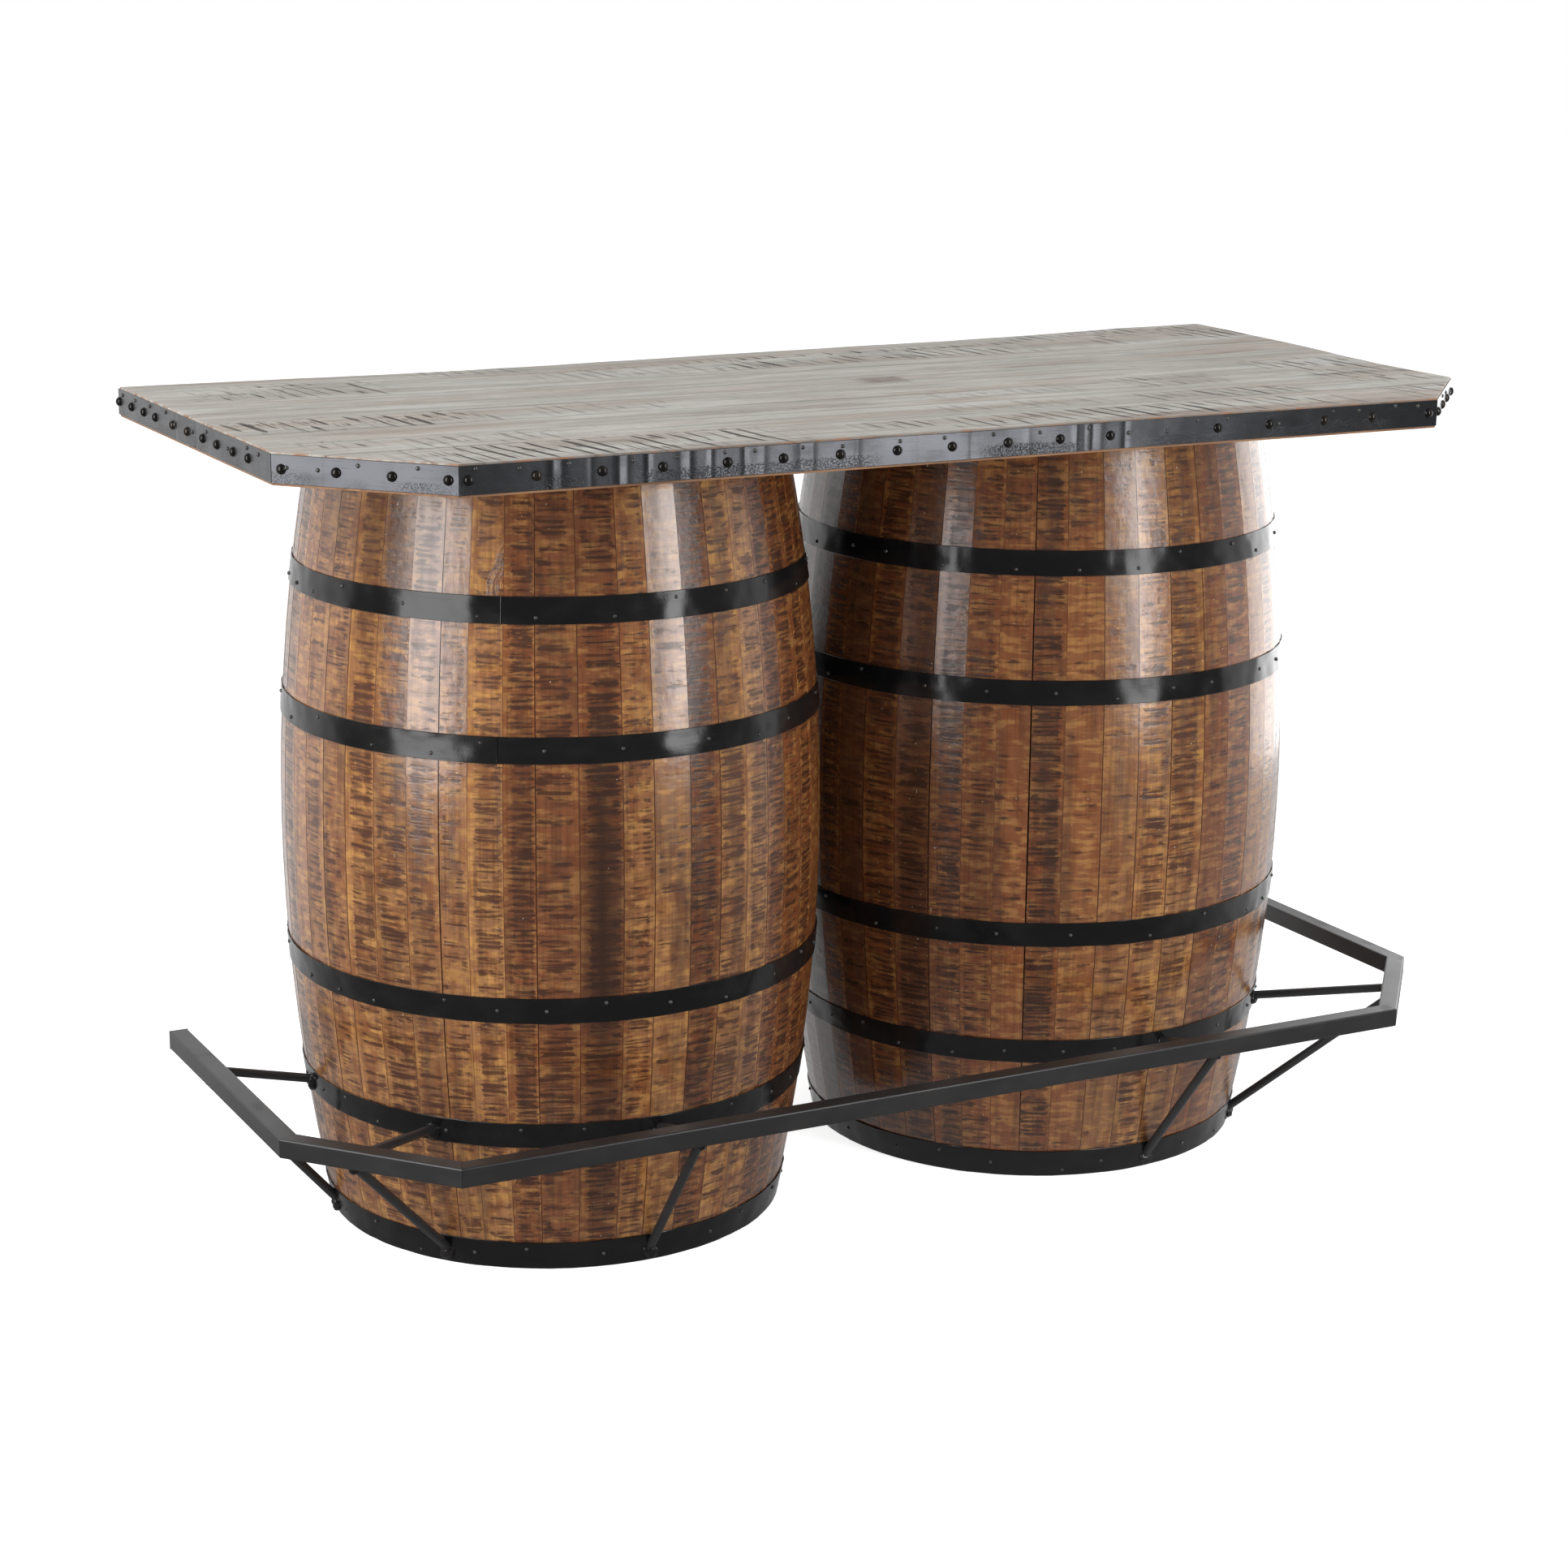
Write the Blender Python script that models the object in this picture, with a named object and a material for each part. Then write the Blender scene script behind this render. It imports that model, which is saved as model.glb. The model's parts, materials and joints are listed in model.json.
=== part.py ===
"""Barrel bar table: a plank top with cut front corners, edged with nailed iron band, on two wooden
barrels, with a square foot rail held by round struts that run to the barrel hoops.

Metres, +Z up, +X along the bar to its right end, +Y to its back. The origin is on the floor, midway
between the ends of the rail and midway between the front nails and the backs of the barrels.
"""

import math

import bmesh
import bpy
from mathutils import Vector

# Fits, and the angle in degrees up to which neighbouring faces are shaded as one
SEAM = 0.0003
OVERRUN = 0.010
SMOOTH_BELOW = 50

# Table top
TABLE_HEIGHT = 1.070
TOP_LENGTH = 1.680
TOP_DEPTH = 0.785
CORNER_CUT_ALONG_FRONT = 0.160
CORNER_CUT_ALONG_END = 0.172
BOARD_THICKNESS = 0.020
BOARD_EDGE_BEVEL = 0.001
BOARD_WIDTH_SHARES = (0.155, 0.121, 0.115, 0.134, 0.102, 0.106, 0.175, 0.092)
BATTEN_HEIGHT = 0.018
BATTEN_WIDTH = 0.045
BATTEN_TO_BARREL = 0.004

# Iron edge band and its domed nails
BAND_THICKNESS = 0.0015
BAND_HEIGHT = 0.032
BARE_WOOD_ABOVE_BAND = 0.002
NAIL_HEAD_DIAMETER = 0.012
NAIL_HEAD_HEIGHT = 0.004
NAIL_SHOULDER_SHARE = 0.72
NAIL_END_MARGIN = 0.013
NAIL_SPACING_ALONG_FRONT = 0.078
NAIL_SPACING_ALONG_END = 0.062
NAIL_SPACING_ALONG_CORNER = 0.070
NAIL_HEAD_SIDES = 8

# Barrels
BARREL_SPACING = 0.735
BARREL_SET_BACK = 0.083
BARREL_END_DIAMETER = 0.600
BARREL_BULGE_DIAMETER = 0.707
STAVE_COUNT = 48
STAVE_THICKNESS = 0.020
HEAD_THICKNESS = 0.018
HEAD_RECESS = 0.040
CROZE_DEPTH = 0.006
CLEAT_LENGTH = 0.480
CLEAT_WIDTH = 0.090

# Barrel hoops, counted from the floor
HOOP_THICKNESS = 0.0015
END_HOOP_INSET = 0.0005
END_HOOP_HEIGHT = 0.038
HOOP_HEIGHT = 0.033
QUARTER_HOOP_FROM_END = 0.191
BILGE_HOOP_FROM_END = 0.360

# Foot rail
RAIL_LENGTH = 1.689
RAIL_TOP_HEIGHT = 0.232
RAIL_FRONT_SET_BACK = 0.0165
RAIL_END_LENGTH = 0.447
RAIL_CUT_ALONG_FRONT = 0.160
RAIL_CUT_ALONG_END = 0.190
RAIL_TUBE = 0.025
RAIL_WALL = 0.0015
RAIL_CORNER_RADIUS = 0.002
RAIL_INNER_RADIUS = 0.0006
RAIL_CAP_THICKNESS = 0.0015

# Struts from the rail to the hoops
STRUT_DIAMETER = 0.012
STRUT_SIDES = 12
LOWER_STRUT_FOOT_HEIGHT = 0.020
LEFT_SIDE_STRUTS_BEHIND_BARREL = 0.042
LEFT_CORNER_STRUTS_TO_END = 0.027
RIGHT_FRONT_STRUTS_TO_END = 0.030
RIGHT_CORNER_STRUTS_TO_END = 0.012

# Heights and places worked out from the sizes above
BARREL_HEIGHT = TABLE_HEIGHT - BOARD_THICKNESS - SEAM
FRONT_REACH = TOP_DEPTH / 2 + NAIL_HEAD_HEIGHT
BACK_REACH = max(FRONT_REACH, BARREL_SET_BACK + BARREL_BULGE_DIAMETER / 2 * math.cos(math.pi / STAVE_COUNT))
TOP_MIDDLE_Y = (FRONT_REACH - BACK_REACH) / 2
BARREL_X = BARREL_SPACING / 2
BARREL_Y = TOP_MIDDLE_Y + BARREL_SET_BACK
BARREL_CENTRES = {"left": Vector((-BARREL_X, BARREL_Y)), "right": Vector((BARREL_X, BARREL_Y))}
BATTEN_TOP = TABLE_HEIGHT - BOARD_THICKNESS - SEAM
BAND_TOP = TABLE_HEIGHT - BARE_WOOD_ABOVE_BAND
RAIL_FRONT_Y = TOP_MIDDLE_Y - TOP_DEPTH / 2 + RAIL_FRONT_SET_BACK
RAIL_UNDERSIDE = RAIL_TOP_HEIGHT - RAIL_TUBE
RAIL_MIDDLE_HEIGHT = RAIL_TOP_HEIGHT - RAIL_TUBE / 2

# Hoop name, height of its lower edge and its own height
HOOPS = (
    ("foot_hoop", END_HOOP_INSET, END_HOOP_HEIGHT),
    ("lower_quarter_hoop", QUARTER_HOOP_FROM_END - HOOP_HEIGHT / 2, HOOP_HEIGHT),
    ("lower_bilge_hoop", BILGE_HOOP_FROM_END - HOOP_HEIGHT / 2, HOOP_HEIGHT),
    ("upper_bilge_hoop", BARREL_HEIGHT - BILGE_HOOP_FROM_END - HOOP_HEIGHT / 2, HOOP_HEIGHT),
    ("upper_quarter_hoop", BARREL_HEIGHT - QUARTER_HOOP_FROM_END - HOOP_HEIGHT / 2, HOOP_HEIGHT),
    ("head_hoop", BARREL_HEIGHT - END_HOOP_INSET - END_HOOP_HEIGHT, END_HOOP_HEIGHT),
)


def clear_scene():
    for item in list(bpy.data.objects):
        bpy.data.objects.remove(item, do_unlink=True)


def finish(name, colour, roughness, metallic=0.0):
    material = bpy.data.materials.new(name)
    material.use_nodes = True
    shader = material.node_tree.nodes["Principled BSDF"]
    shader.inputs["Base Color"].default_value = (*colour, 1.0)
    shader.inputs["Roughness"].default_value = roughness
    shader.inputs["Metallic"].default_value = metallic
    return material


def place(name, mesh, material, smooth_below=None):
    """Link a mesh into the scene as a named sub-part, with its faces turned outwards."""
    form = bmesh.new()
    form.from_mesh(mesh)
    bmesh.ops.recalc_face_normals(form, faces=form.faces)
    form.to_mesh(mesh)
    form.free()
    if smooth_below is not None:
        mesh.shade_smooth()
        mesh.set_sharp_from_angle(angle=math.radians(smooth_below))
    item = bpy.data.objects.new(name, mesh)
    item.data.materials.append(material)
    bpy.context.scene.collection.objects.link(item)
    return item


def helper(name, mesh):
    """A shape that only cuts or joins another one."""
    item = place(name, mesh, finish(name + "_guide", (0.8, 0.8, 0.8), 0.5))
    item.hide_render = True
    item.display_type = "WIRE"
    return item


def combine(item, operation, other):
    """Cut another shape from a sub-part, or join it on."""
    step = item.modifiers.new(operation.title(), "BOOLEAN")
    step.operation = operation
    step.solver = "EXACT"
    step.object = other


def add_bevel(item, width):
    step = item.modifiers.new("Eased edges", "BEVEL")
    step.width = width
    step.segments = 1
    step.limit_method = "ANGLE"


def mesh_of(name, form):
    mesh = bpy.data.meshes.new(name)
    form.to_mesh(mesh)
    form.free()
    return mesh


def extruded(name, outline, bottom, top):
    """A prism: a plan outline carried from one height to another."""
    form = bmesh.new()
    base = form.faces.new([form.verts.new((x, y, bottom)) for x, y in outline])
    rise = bmesh.ops.extrude_face_region(form, geom=[base])
    moved = [part for part in rise["geom"] if isinstance(part, bmesh.types.BMVert)]
    bmesh.ops.translate(form, verts=moved, vec=(0, 0, top - bottom))
    return mesh_of(name, form)


def loft(form, first, second):
    """Quads between two closed loops of as many vertices."""
    count = len(first)
    for i in range(count):
        form.faces.new((first[i], first[(i + 1) % count], second[(i + 1) % count], second[i]))


def turned_ring(name, profile, sides, centre):
    """A closed profile of (radius, height) points turned about a vertical line, one flat for each stave."""
    form = bmesh.new()
    loops = []
    for step in range(sides):
        angle = 2 * math.pi * (step + 0.5) / sides
        turn = Vector((math.cos(angle), math.sin(angle)))
        spots = [centre + turn * radius for radius, height in profile]
        loops.append([form.verts.new((*spot, profile[i][1])) for i, spot in enumerate(spots)])
    for step in range(sides):
        loft(form, loops[step], loops[(step + 1) % sides])
    return mesh_of(name, form)


def turned_disc(name, rings, sides, centre):
    """A solid of revolution through (radius, height) rings from its bottom to its top."""
    form = bmesh.new()
    loops = []
    for radius, height in rings:
        angles = [2 * math.pi * (step + 0.5) / sides for step in range(sides)]
        spots = [centre + Vector((math.cos(a), math.sin(a))) * radius for a in angles]
        loops.append([form.verts.new((*spot, height)) for spot in spots])
    for lower, upper in zip(loops, loops[1:]):
        loft(form, lower, upper)
    form.faces.new(loops[0])
    form.faces.new(loops[-1])
    return mesh_of(name, form)


def outline_normals(outline):
    """The outward normal of each side of a plan outline that runs anticlockwise."""
    count = len(outline)
    sides = [(outline[(i + 1) % count] - outline[i]).normalized() for i in range(count)]
    return [Vector((side.y, -side.x)) for side in sides]


def grown(outline, distance):
    """The plan outline with every side moved outwards by the same distance."""
    normals = outline_normals(outline)
    corners = []
    for i, corner in enumerate(outline):
        before, after = normals[i - 1], normals[i]
        corners.append(corner + (before + after) * distance / (1 + before.dot(after)))
    return corners


def mitred_sides(outer, inner):
    """Plan outlines of the pieces between two nested outlines, mitred at the corners with a seam."""
    count = len(outer)
    pieces = []
    for i in range(count):
        j = (i + 1) % count
        along = (outer[j] - outer[i]).normalized()
        starts = (outer[i] - inner[i]).normalized()
        ends = (outer[j] - inner[j]).normalized()
        start_shift = along * SEAM / 2 / abs(along.x * starts.y - along.y * starts.x)
        end_shift = along * SEAM / 2 / abs(along.x * ends.y - along.y * ends.x)
        pieces.append(
            (outer[i] + start_shift, outer[j] - end_shift, inner[j] - end_shift, inner[i] + start_shift)
        )
    return pieces


TOP_SIDES = ("front", "right_corner", "right_end", "back", "left_end", "left_corner")


def top_outline():
    """The plan of the finished top, anticlockwise from the left end of its front."""
    half_length = TOP_LENGTH / 2
    front_half = half_length - CORNER_CUT_ALONG_FRONT
    front_y = TOP_MIDDLE_Y - TOP_DEPTH / 2
    cut_y = front_y + CORNER_CUT_ALONG_END
    back_y = TOP_MIDDLE_Y + TOP_DEPTH / 2
    return [
        Vector((-front_half, front_y)),
        Vector((front_half, front_y)),
        Vector((half_length, cut_y)),
        Vector((half_length, back_y)),
        Vector((-half_length, back_y)),
        Vector((-half_length, cut_y)),
    ]


def wood_outline():
    """The plan of the wooden top inside its iron band."""
    return grown(top_outline(), -BAND_THICKNESS - SEAM)


def board_outline(front_y, back_y):
    """The part of the wooden top that lies between two seams."""
    wood = wood_outline()
    half_length = wood[2].x
    cut_y = wood[2].y
    front_half, front_edge = wood[1].x, wood[1].y
    slope = (half_length - front_half) / (cut_y - front_edge)

    def half_at(y):
        return half_length if y >= cut_y else front_half + (y - front_edge) * slope

    levels = [front_y, back_y]
    if front_y < cut_y < back_y:
        levels.insert(1, cut_y)
    right = [Vector((half_at(y), y)) for y in levels]
    left = [Vector((-half_at(y), y)) for y in reversed(levels)]
    return right + left


def add_boards(wood):
    outline = wood_outline()
    front_edge, back_edge = outline[0].y, outline[3].y
    y = front_edge
    for number, share in enumerate(BOARD_WIDTH_SHARES, start=1):
        width = (back_edge - front_edge) * share
        front_y = y if number == 1 else y + SEAM
        back_y = back_edge if number == len(BOARD_WIDTH_SHARES) else y + width
        name = f"top_board_{number}"
        mesh = extruded(name, board_outline(front_y, back_y), TABLE_HEIGHT - BOARD_THICKNESS, TABLE_HEIGHT)
        add_bevel(place(name, mesh, wood), BOARD_EDGE_BEVEL)
        y += width


def batten_stop_radius():
    """How near to a barrel's middle a batten may come: the head hoop at the batten's underside and a gap."""
    return stave_radius(BATTEN_TOP - BATTEN_HEIGHT) + SEAM + HOOP_THICKNESS + BATTEN_TO_BARREL


def batten_coping(side):
    """What an end batten is cut back to where the top is so short that it meets a barrel."""
    radius = batten_stop_radius()
    rings = ((radius, BATTEN_TOP - BATTEN_HEIGHT - OVERRUN), (radius, BATTEN_TOP + OVERRUN))
    name = f"{side}_batten_coping"
    return helper(name, turned_disc(name, rings, STAVE_COUNT, BARREL_CENTRES[side]))


def split_at_barrels(back_piece):
    """The back batten in three lengths, stopped short of the two barrel tops that come up between them."""
    right_out, left_out, left_in, right_in = back_piece
    forward = left_in.y - BARREL_Y
    half_chord = math.sqrt(max(batten_stop_radius() ** 2 - forward**2, 0)) + SEAM / 2
    near, far = BARREL_X - half_chord, BARREL_X + half_chord
    outer_y, inner_y = left_out.y, left_in.y
    return {
        "back_right": (right_out, (far, outer_y), (far, inner_y), right_in),
        "back_middle": ((near, outer_y), (-near, outer_y), (-near, inner_y), (near, inner_y)),
        "back_left": ((-far, outer_y), left_out, left_in, (-far, inner_y)),
    }


def add_battens(wood):
    outer = wood_outline()
    inner = grown(outer, -BATTEN_WIDTH)
    pieces = dict(zip(TOP_SIDES, mitred_sides(outer, inner)))
    pieces.update(split_at_barrels(pieces.pop("back")))
    for side, piece in pieces.items():
        name = f"edge_batten_{side}"
        batten = place(name, extruded(name, piece, BATTEN_TOP - BATTEN_HEIGHT, BATTEN_TOP), wood)
        if side.endswith("_end"):
            combine(batten, "DIFFERENCE", batten_coping(side.removesuffix("_end")))


def add_nail_heads(form, start, end, spacing, outward):
    """Domed heads in a row along the middle of a band, each sunk halfway into the strip."""
    run = end - start
    count = max(2, round((run.length - 2 * NAIL_END_MARGIN) / spacing) + 1)
    step = (run.length - 2 * NAIL_END_MARGIN) / (count - 1)
    along = run.normalized()
    radius = NAIL_HEAD_DIAMETER / 2
    shoulder = NAIL_HEAD_HEIGHT * NAIL_SHOULDER_SHARE
    rings = ((radius, -BAND_THICKNESS / 2), (radius, 0), (radius * NAIL_SHOULDER_SHARE, shoulder))
    middle = BAND_TOP - BAND_HEIGHT / 2
    for number in range(count):
        foot = start + along * (NAIL_END_MARGIN + step * number)
        loops = []
        for size, out in rings:
            loop = []
            for side in range(NAIL_HEAD_SIDES):
                angle = 2 * math.pi * (side + 0.5) / NAIL_HEAD_SIDES
                spot = foot + along * size * math.cos(angle) + outward * out
                loop.append(form.verts.new((*spot, middle + size * math.sin(angle))))
            loops.append(loop)
        for lower, upper in zip(loops, loops[1:]):
            loft(form, lower, upper)
        form.faces.new(loops[0])
        crown = form.verts.new((*(foot + outward * NAIL_HEAD_HEIGHT), middle))
        last = loops[-1]
        for side in range(NAIL_HEAD_SIDES):
            form.faces.new((last[side], last[(side + 1) % NAIL_HEAD_SIDES], crown))


def add_bands(iron):
    outer = top_outline()
    inner = grown(outer, -BAND_THICKNESS)
    normals = outline_normals(outer)
    spacings = {"front": NAIL_SPACING_ALONG_FRONT, "back": NAIL_SPACING_ALONG_FRONT}
    for i, (side, piece) in enumerate(zip(TOP_SIDES, mitred_sides(outer, inner))):
        name = f"edge_band_{side}"
        strip = place(name, extruded(name, piece, BAND_TOP - BAND_HEIGHT, BAND_TOP), iron)
        spacing = spacings.get(side, NAIL_SPACING_ALONG_END)
        if side.endswith("corner"):
            spacing = NAIL_SPACING_ALONG_CORNER
        heads = bmesh.new()
        add_nail_heads(heads, outer[i], outer[(i + 1) % len(outer)], spacing, normals[i])
        combine(strip, "UNION", helper(f"{name}_nail_heads", mesh_of(name, heads)))


def stave_radius(height):
    """Outer radius of a barrel: a parabola from the end radius to the bulge and back."""
    end, bulge = BARREL_END_DIAMETER / 2, BARREL_BULGE_DIAMETER / 2
    offset = 2 * height / BARREL_HEIGHT - 1
    return end + (bulge - end) * (1 - offset * offset)


def hoop_edges(hoops):
    """Lower and upper edges of some hoops, from the floor up."""
    return [height for name, bottom, tall in hoops for height in (bottom, bottom + tall)]


def outside_wall():
    """Outer face of the staves from the floor up, with a point at every hoop edge and round the bulge."""
    middle = BARREL_HEIGHT / 2
    half_way = (middle - BILGE_HOOP_FROM_END) / 2
    bulge = [middle - half_way, middle, middle + half_way]
    heights = sorted([0, BARREL_HEIGHT] + hoop_edges(HOOPS)[1:-1] + bulge)
    return [(stave_radius(z), z) for z in heights]


def inside_wall():
    """Inner face of the staves from the floor up, with the croze grooves that hold both heads."""

    def inner(z):
        return stave_radius(z) - STAVE_THICKNESS

    low, high = HEAD_RECESS, HEAD_RECESS + HEAD_THICKNESS
    middle = BARREL_HEIGHT / 2
    lower_half = [
        (inner(0), 0),
        (inner(low), low),
        (inner(low) + CROZE_DEPTH, low),
        (inner(high) + CROZE_DEPTH, high),
        (inner(high), high),
        (inner(BILGE_HOOP_FROM_END), BILGE_HOOP_FROM_END),
    ]
    upper_half = [(radius, BARREL_HEIGHT - z) for radius, z in reversed(lower_half)]
    return lower_half + [(inner(middle), middle)] + upper_half


def add_barrel(side, stave_wood, head_wood, iron):
    centre = BARREL_CENTRES[side]
    name = f"{side}_barrel_staves"
    section = outside_wall() + inside_wall()[::-1]
    place(name, turned_ring(name, section, STAVE_COUNT, centre), stave_wood)
    inside_low = stave_radius(HEAD_RECESS) - STAVE_THICKNESS + CROZE_DEPTH - SEAM
    inside_high = stave_radius(HEAD_RECESS + HEAD_THICKNESS) - STAVE_THICKNESS + CROZE_DEPTH - SEAM
    low, high = HEAD_RECESS + SEAM, HEAD_RECESS + HEAD_THICKNESS - SEAM
    bottom_rings = ((inside_low, low), (inside_high, high))
    top_rings = ((inside_high, BARREL_HEIGHT - high), (inside_low, BARREL_HEIGHT - low))
    for end, rings in (("bottom", bottom_rings), ("top", top_rings)):
        name = f"{side}_barrel_{end}_head"
        place(name, turned_disc(name, rings, STAVE_COUNT, centre), head_wood, smooth_below=SMOOTH_BELOW)
    for hoop, bottom, tall in HOOPS:
        name = f"{side}_{hoop}"
        lower, upper = stave_radius(bottom) + SEAM, stave_radius(bottom + tall) + SEAM
        top = bottom + tall
        section = (
            (lower, bottom),
            (lower + HOOP_THICKNESS, bottom),
            (upper + HOOP_THICKNESS, top),
            (upper, top),
        )
        place(name, turned_ring(name, section, STAVE_COUNT, centre), iron, smooth_below=SMOOTH_BELOW)


def add_cleat(side, wood):
    """Block between a barrel's sunk top head and the boards, under the seams that it ties together."""
    centre = BARREL_CENTRES[side]
    half_width, half_length = CLEAT_WIDTH / 2, CLEAT_LENGTH / 2
    outline = [
        centre + Vector((x * half_width, y * half_length)) for x, y in ((-1, -1), (1, -1), (1, 1), (-1, 1))
    ]
    bottom = BARREL_HEIGHT - HEAD_RECESS
    name = f"{side}_top_cleat"
    place(name, extruded(name, outline, bottom, BARREL_HEIGHT), wood)


def rail_path():
    """Outer face of the foot rail in plan, from its left back end to its right back end."""
    half_length = RAIL_LENGTH / 2
    front_half = half_length - RAIL_CUT_ALONG_FRONT
    cut_y = RAIL_FRONT_Y + RAIL_CUT_ALONG_END
    back_y = cut_y + RAIL_END_LENGTH
    right = [Vector((front_half, RAIL_FRONT_Y)), Vector((half_length, cut_y)), Vector((half_length, back_y))]
    left = [Vector((-point.x, point.y)) for point in reversed(right)]
    return left + right


def tube_section(size, radius):
    """Corners of a square of this size with rounded corners, about its middle."""
    steps = 2
    reach = size / 2 - radius
    points = []
    for quarter in range(4):
        start = quarter * math.pi / 2
        corner = Vector((math.cos(start + math.pi / 4), math.sin(start + math.pi / 4))) * reach * math.sqrt(2)
        for step in range(steps + 1):
            angle = start + step * math.pi / 2 / steps
            points.append(corner + Vector((math.cos(angle), math.sin(angle))) * radius)
    return points


def add_rail_tube(name, start, end, start_mitre, end_mitre, iron):
    """One straight length of square tube. A mitre is the plan normal of the plane that ends it."""
    along = (end - start).normalized()
    inward = Vector((-along.y, along.x))
    form = bmesh.new()
    sections = []
    bore = RAIL_TUBE - 2 * RAIL_WALL
    for size, radius in ((RAIL_TUBE, RAIL_CORNER_RADIUS), (bore, RAIL_INNER_RADIUS)):
        loops = []
        for corner, mitre in ((start, start_mitre), (end, end_mitre)):
            loop = []
            for across, up in tube_section(size, radius):
                spot = corner + inward * (RAIL_TUBE / 2 + across)
                spot += along * (corner - spot).dot(mitre) / along.dot(mitre)
                loop.append(form.verts.new((*spot, RAIL_MIDDLE_HEIGHT + up)))
            loops.append(loop)
        loft(form, *loops)
        sections.append(loops)
    for outer, inner in zip(*sections):
        loft(form, outer, inner)
    place(name, mesh_of(name, form), iron, smooth_below=SMOOTH_BELOW)


def add_rail(iron):
    path = rail_path()
    names = ("left_end", "left_corner", "front", "right_corner", "right_end")
    runs = [(path[i + 1] - path[i]).normalized() for i in range(len(names))]
    for i, name in enumerate(names):
        before = runs[i - 1] if i > 0 else runs[i]
        after = runs[i + 1] if i + 1 < len(names) else runs[i]
        start_mitre = (before + runs[i]).normalized()
        end_mitre = (runs[i] + after).normalized()
        start = path[i] + runs[i] * SEAM / 2 / runs[i].dot(start_mitre)
        end = path[i + 1] - runs[i] * SEAM / 2 / runs[i].dot(end_mitre)
        add_rail_tube(f"foot_rail_{name}", start, end, start_mitre, end_mitre, iron)
    for side, corner in (("left", path[0]), ("right", path[-1])):
        inward = 1 if side == "left" else -1
        far_x = corner.x + inward * RAIL_TUBE
        near_y = corner.y + SEAM / 2
        far_y = near_y + RAIL_CAP_THICKNESS
        outline = [(corner.x, near_y), (far_x, near_y), (far_x, far_y), (corner.x, far_y)]
        name = f"foot_rail_{side}_cap"
        place(name, extruded(name, outline, RAIL_UNDERSIDE, RAIL_TOP_HEIGHT), iron)


def strut_mesh(name, foot, head, end_point, end_normal):
    """A round bar that starts inside the barrel on its line and stops at a plane near the rail."""
    along = (head - foot).normalized()
    side = along.cross(Vector((0, 0, 1))).normalized()
    up = side.cross(along)
    form = bmesh.new()
    loops = ([], [])
    for step in range(STRUT_SIDES):
        angle = 2 * math.pi * step / STRUT_SIDES
        spot = foot + (side * math.cos(angle) + up * math.sin(angle)) * STRUT_DIAMETER / 2
        reach = (end_point - spot).dot(end_normal) / along.dot(end_normal)
        loops[0].append(form.verts.new(spot - along * OVERRUN))
        loops[1].append(form.verts.new(spot + along * reach))
    loft(form, *loops)
    form.faces.new(loops[0])
    form.faces.new(loops[1])
    return mesh_of(name, form)


def barrel_envelope(side):
    """What a strut end is coped to: the lower barrel with its hoops, a seam larger."""
    heights = [-OVERRUN] + hoop_edges(HOOPS[:3])
    rings = [(stave_radius(z) + HOOP_THICKNESS + 2 * SEAM, z) for z in heights]
    name = f"{side}_strut_coping"
    return helper(name, turned_disc(name, rings, STAVE_COUNT, BARREL_CENTRES[side]))


def add_strut_pair(side, place_name, aim, rail_normal, coping, iron):
    """An upper strut to the inner face of the rail and a lower one to its underside."""
    centre = BARREL_CENTRES[side]
    toward = (aim - centre).normalized()
    reach = (aim - centre).length
    upper_foot_z = QUARTER_HOOP_FROM_END
    lower_foot_z = LOWER_STRUT_FOOT_HEIGHT
    upper_foot = centre + toward * stave_radius(upper_foot_z)
    lower_foot = centre + toward * stave_radius(lower_foot_z)
    rail_axis = centre + toward * (reach - RAIL_TUBE / 2 / toward.dot(rail_normal))
    inner_face = aim - rail_normal * (RAIL_TUBE + SEAM)
    upper = strut_mesh(
        f"{side}_{place_name}_upper_strut",
        Vector((*upper_foot, upper_foot_z)),
        Vector((*rail_axis, RAIL_MIDDLE_HEIGHT)),
        Vector((*inner_face, RAIL_MIDDLE_HEIGHT)),
        Vector((*rail_normal, 0)),
    )
    lower = strut_mesh(
        f"{side}_{place_name}_lower_strut",
        Vector((*lower_foot, lower_foot_z)),
        Vector((*rail_axis, RAIL_UNDERSIDE)),
        Vector((*rail_axis, RAIL_UNDERSIDE - SEAM)),
        Vector((0, 0, 1)),
    )
    for mesh in (upper, lower):
        combine(place(mesh.name, mesh, iron, smooth_below=SMOOTH_BELOW), "DIFFERENCE", coping)


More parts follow.
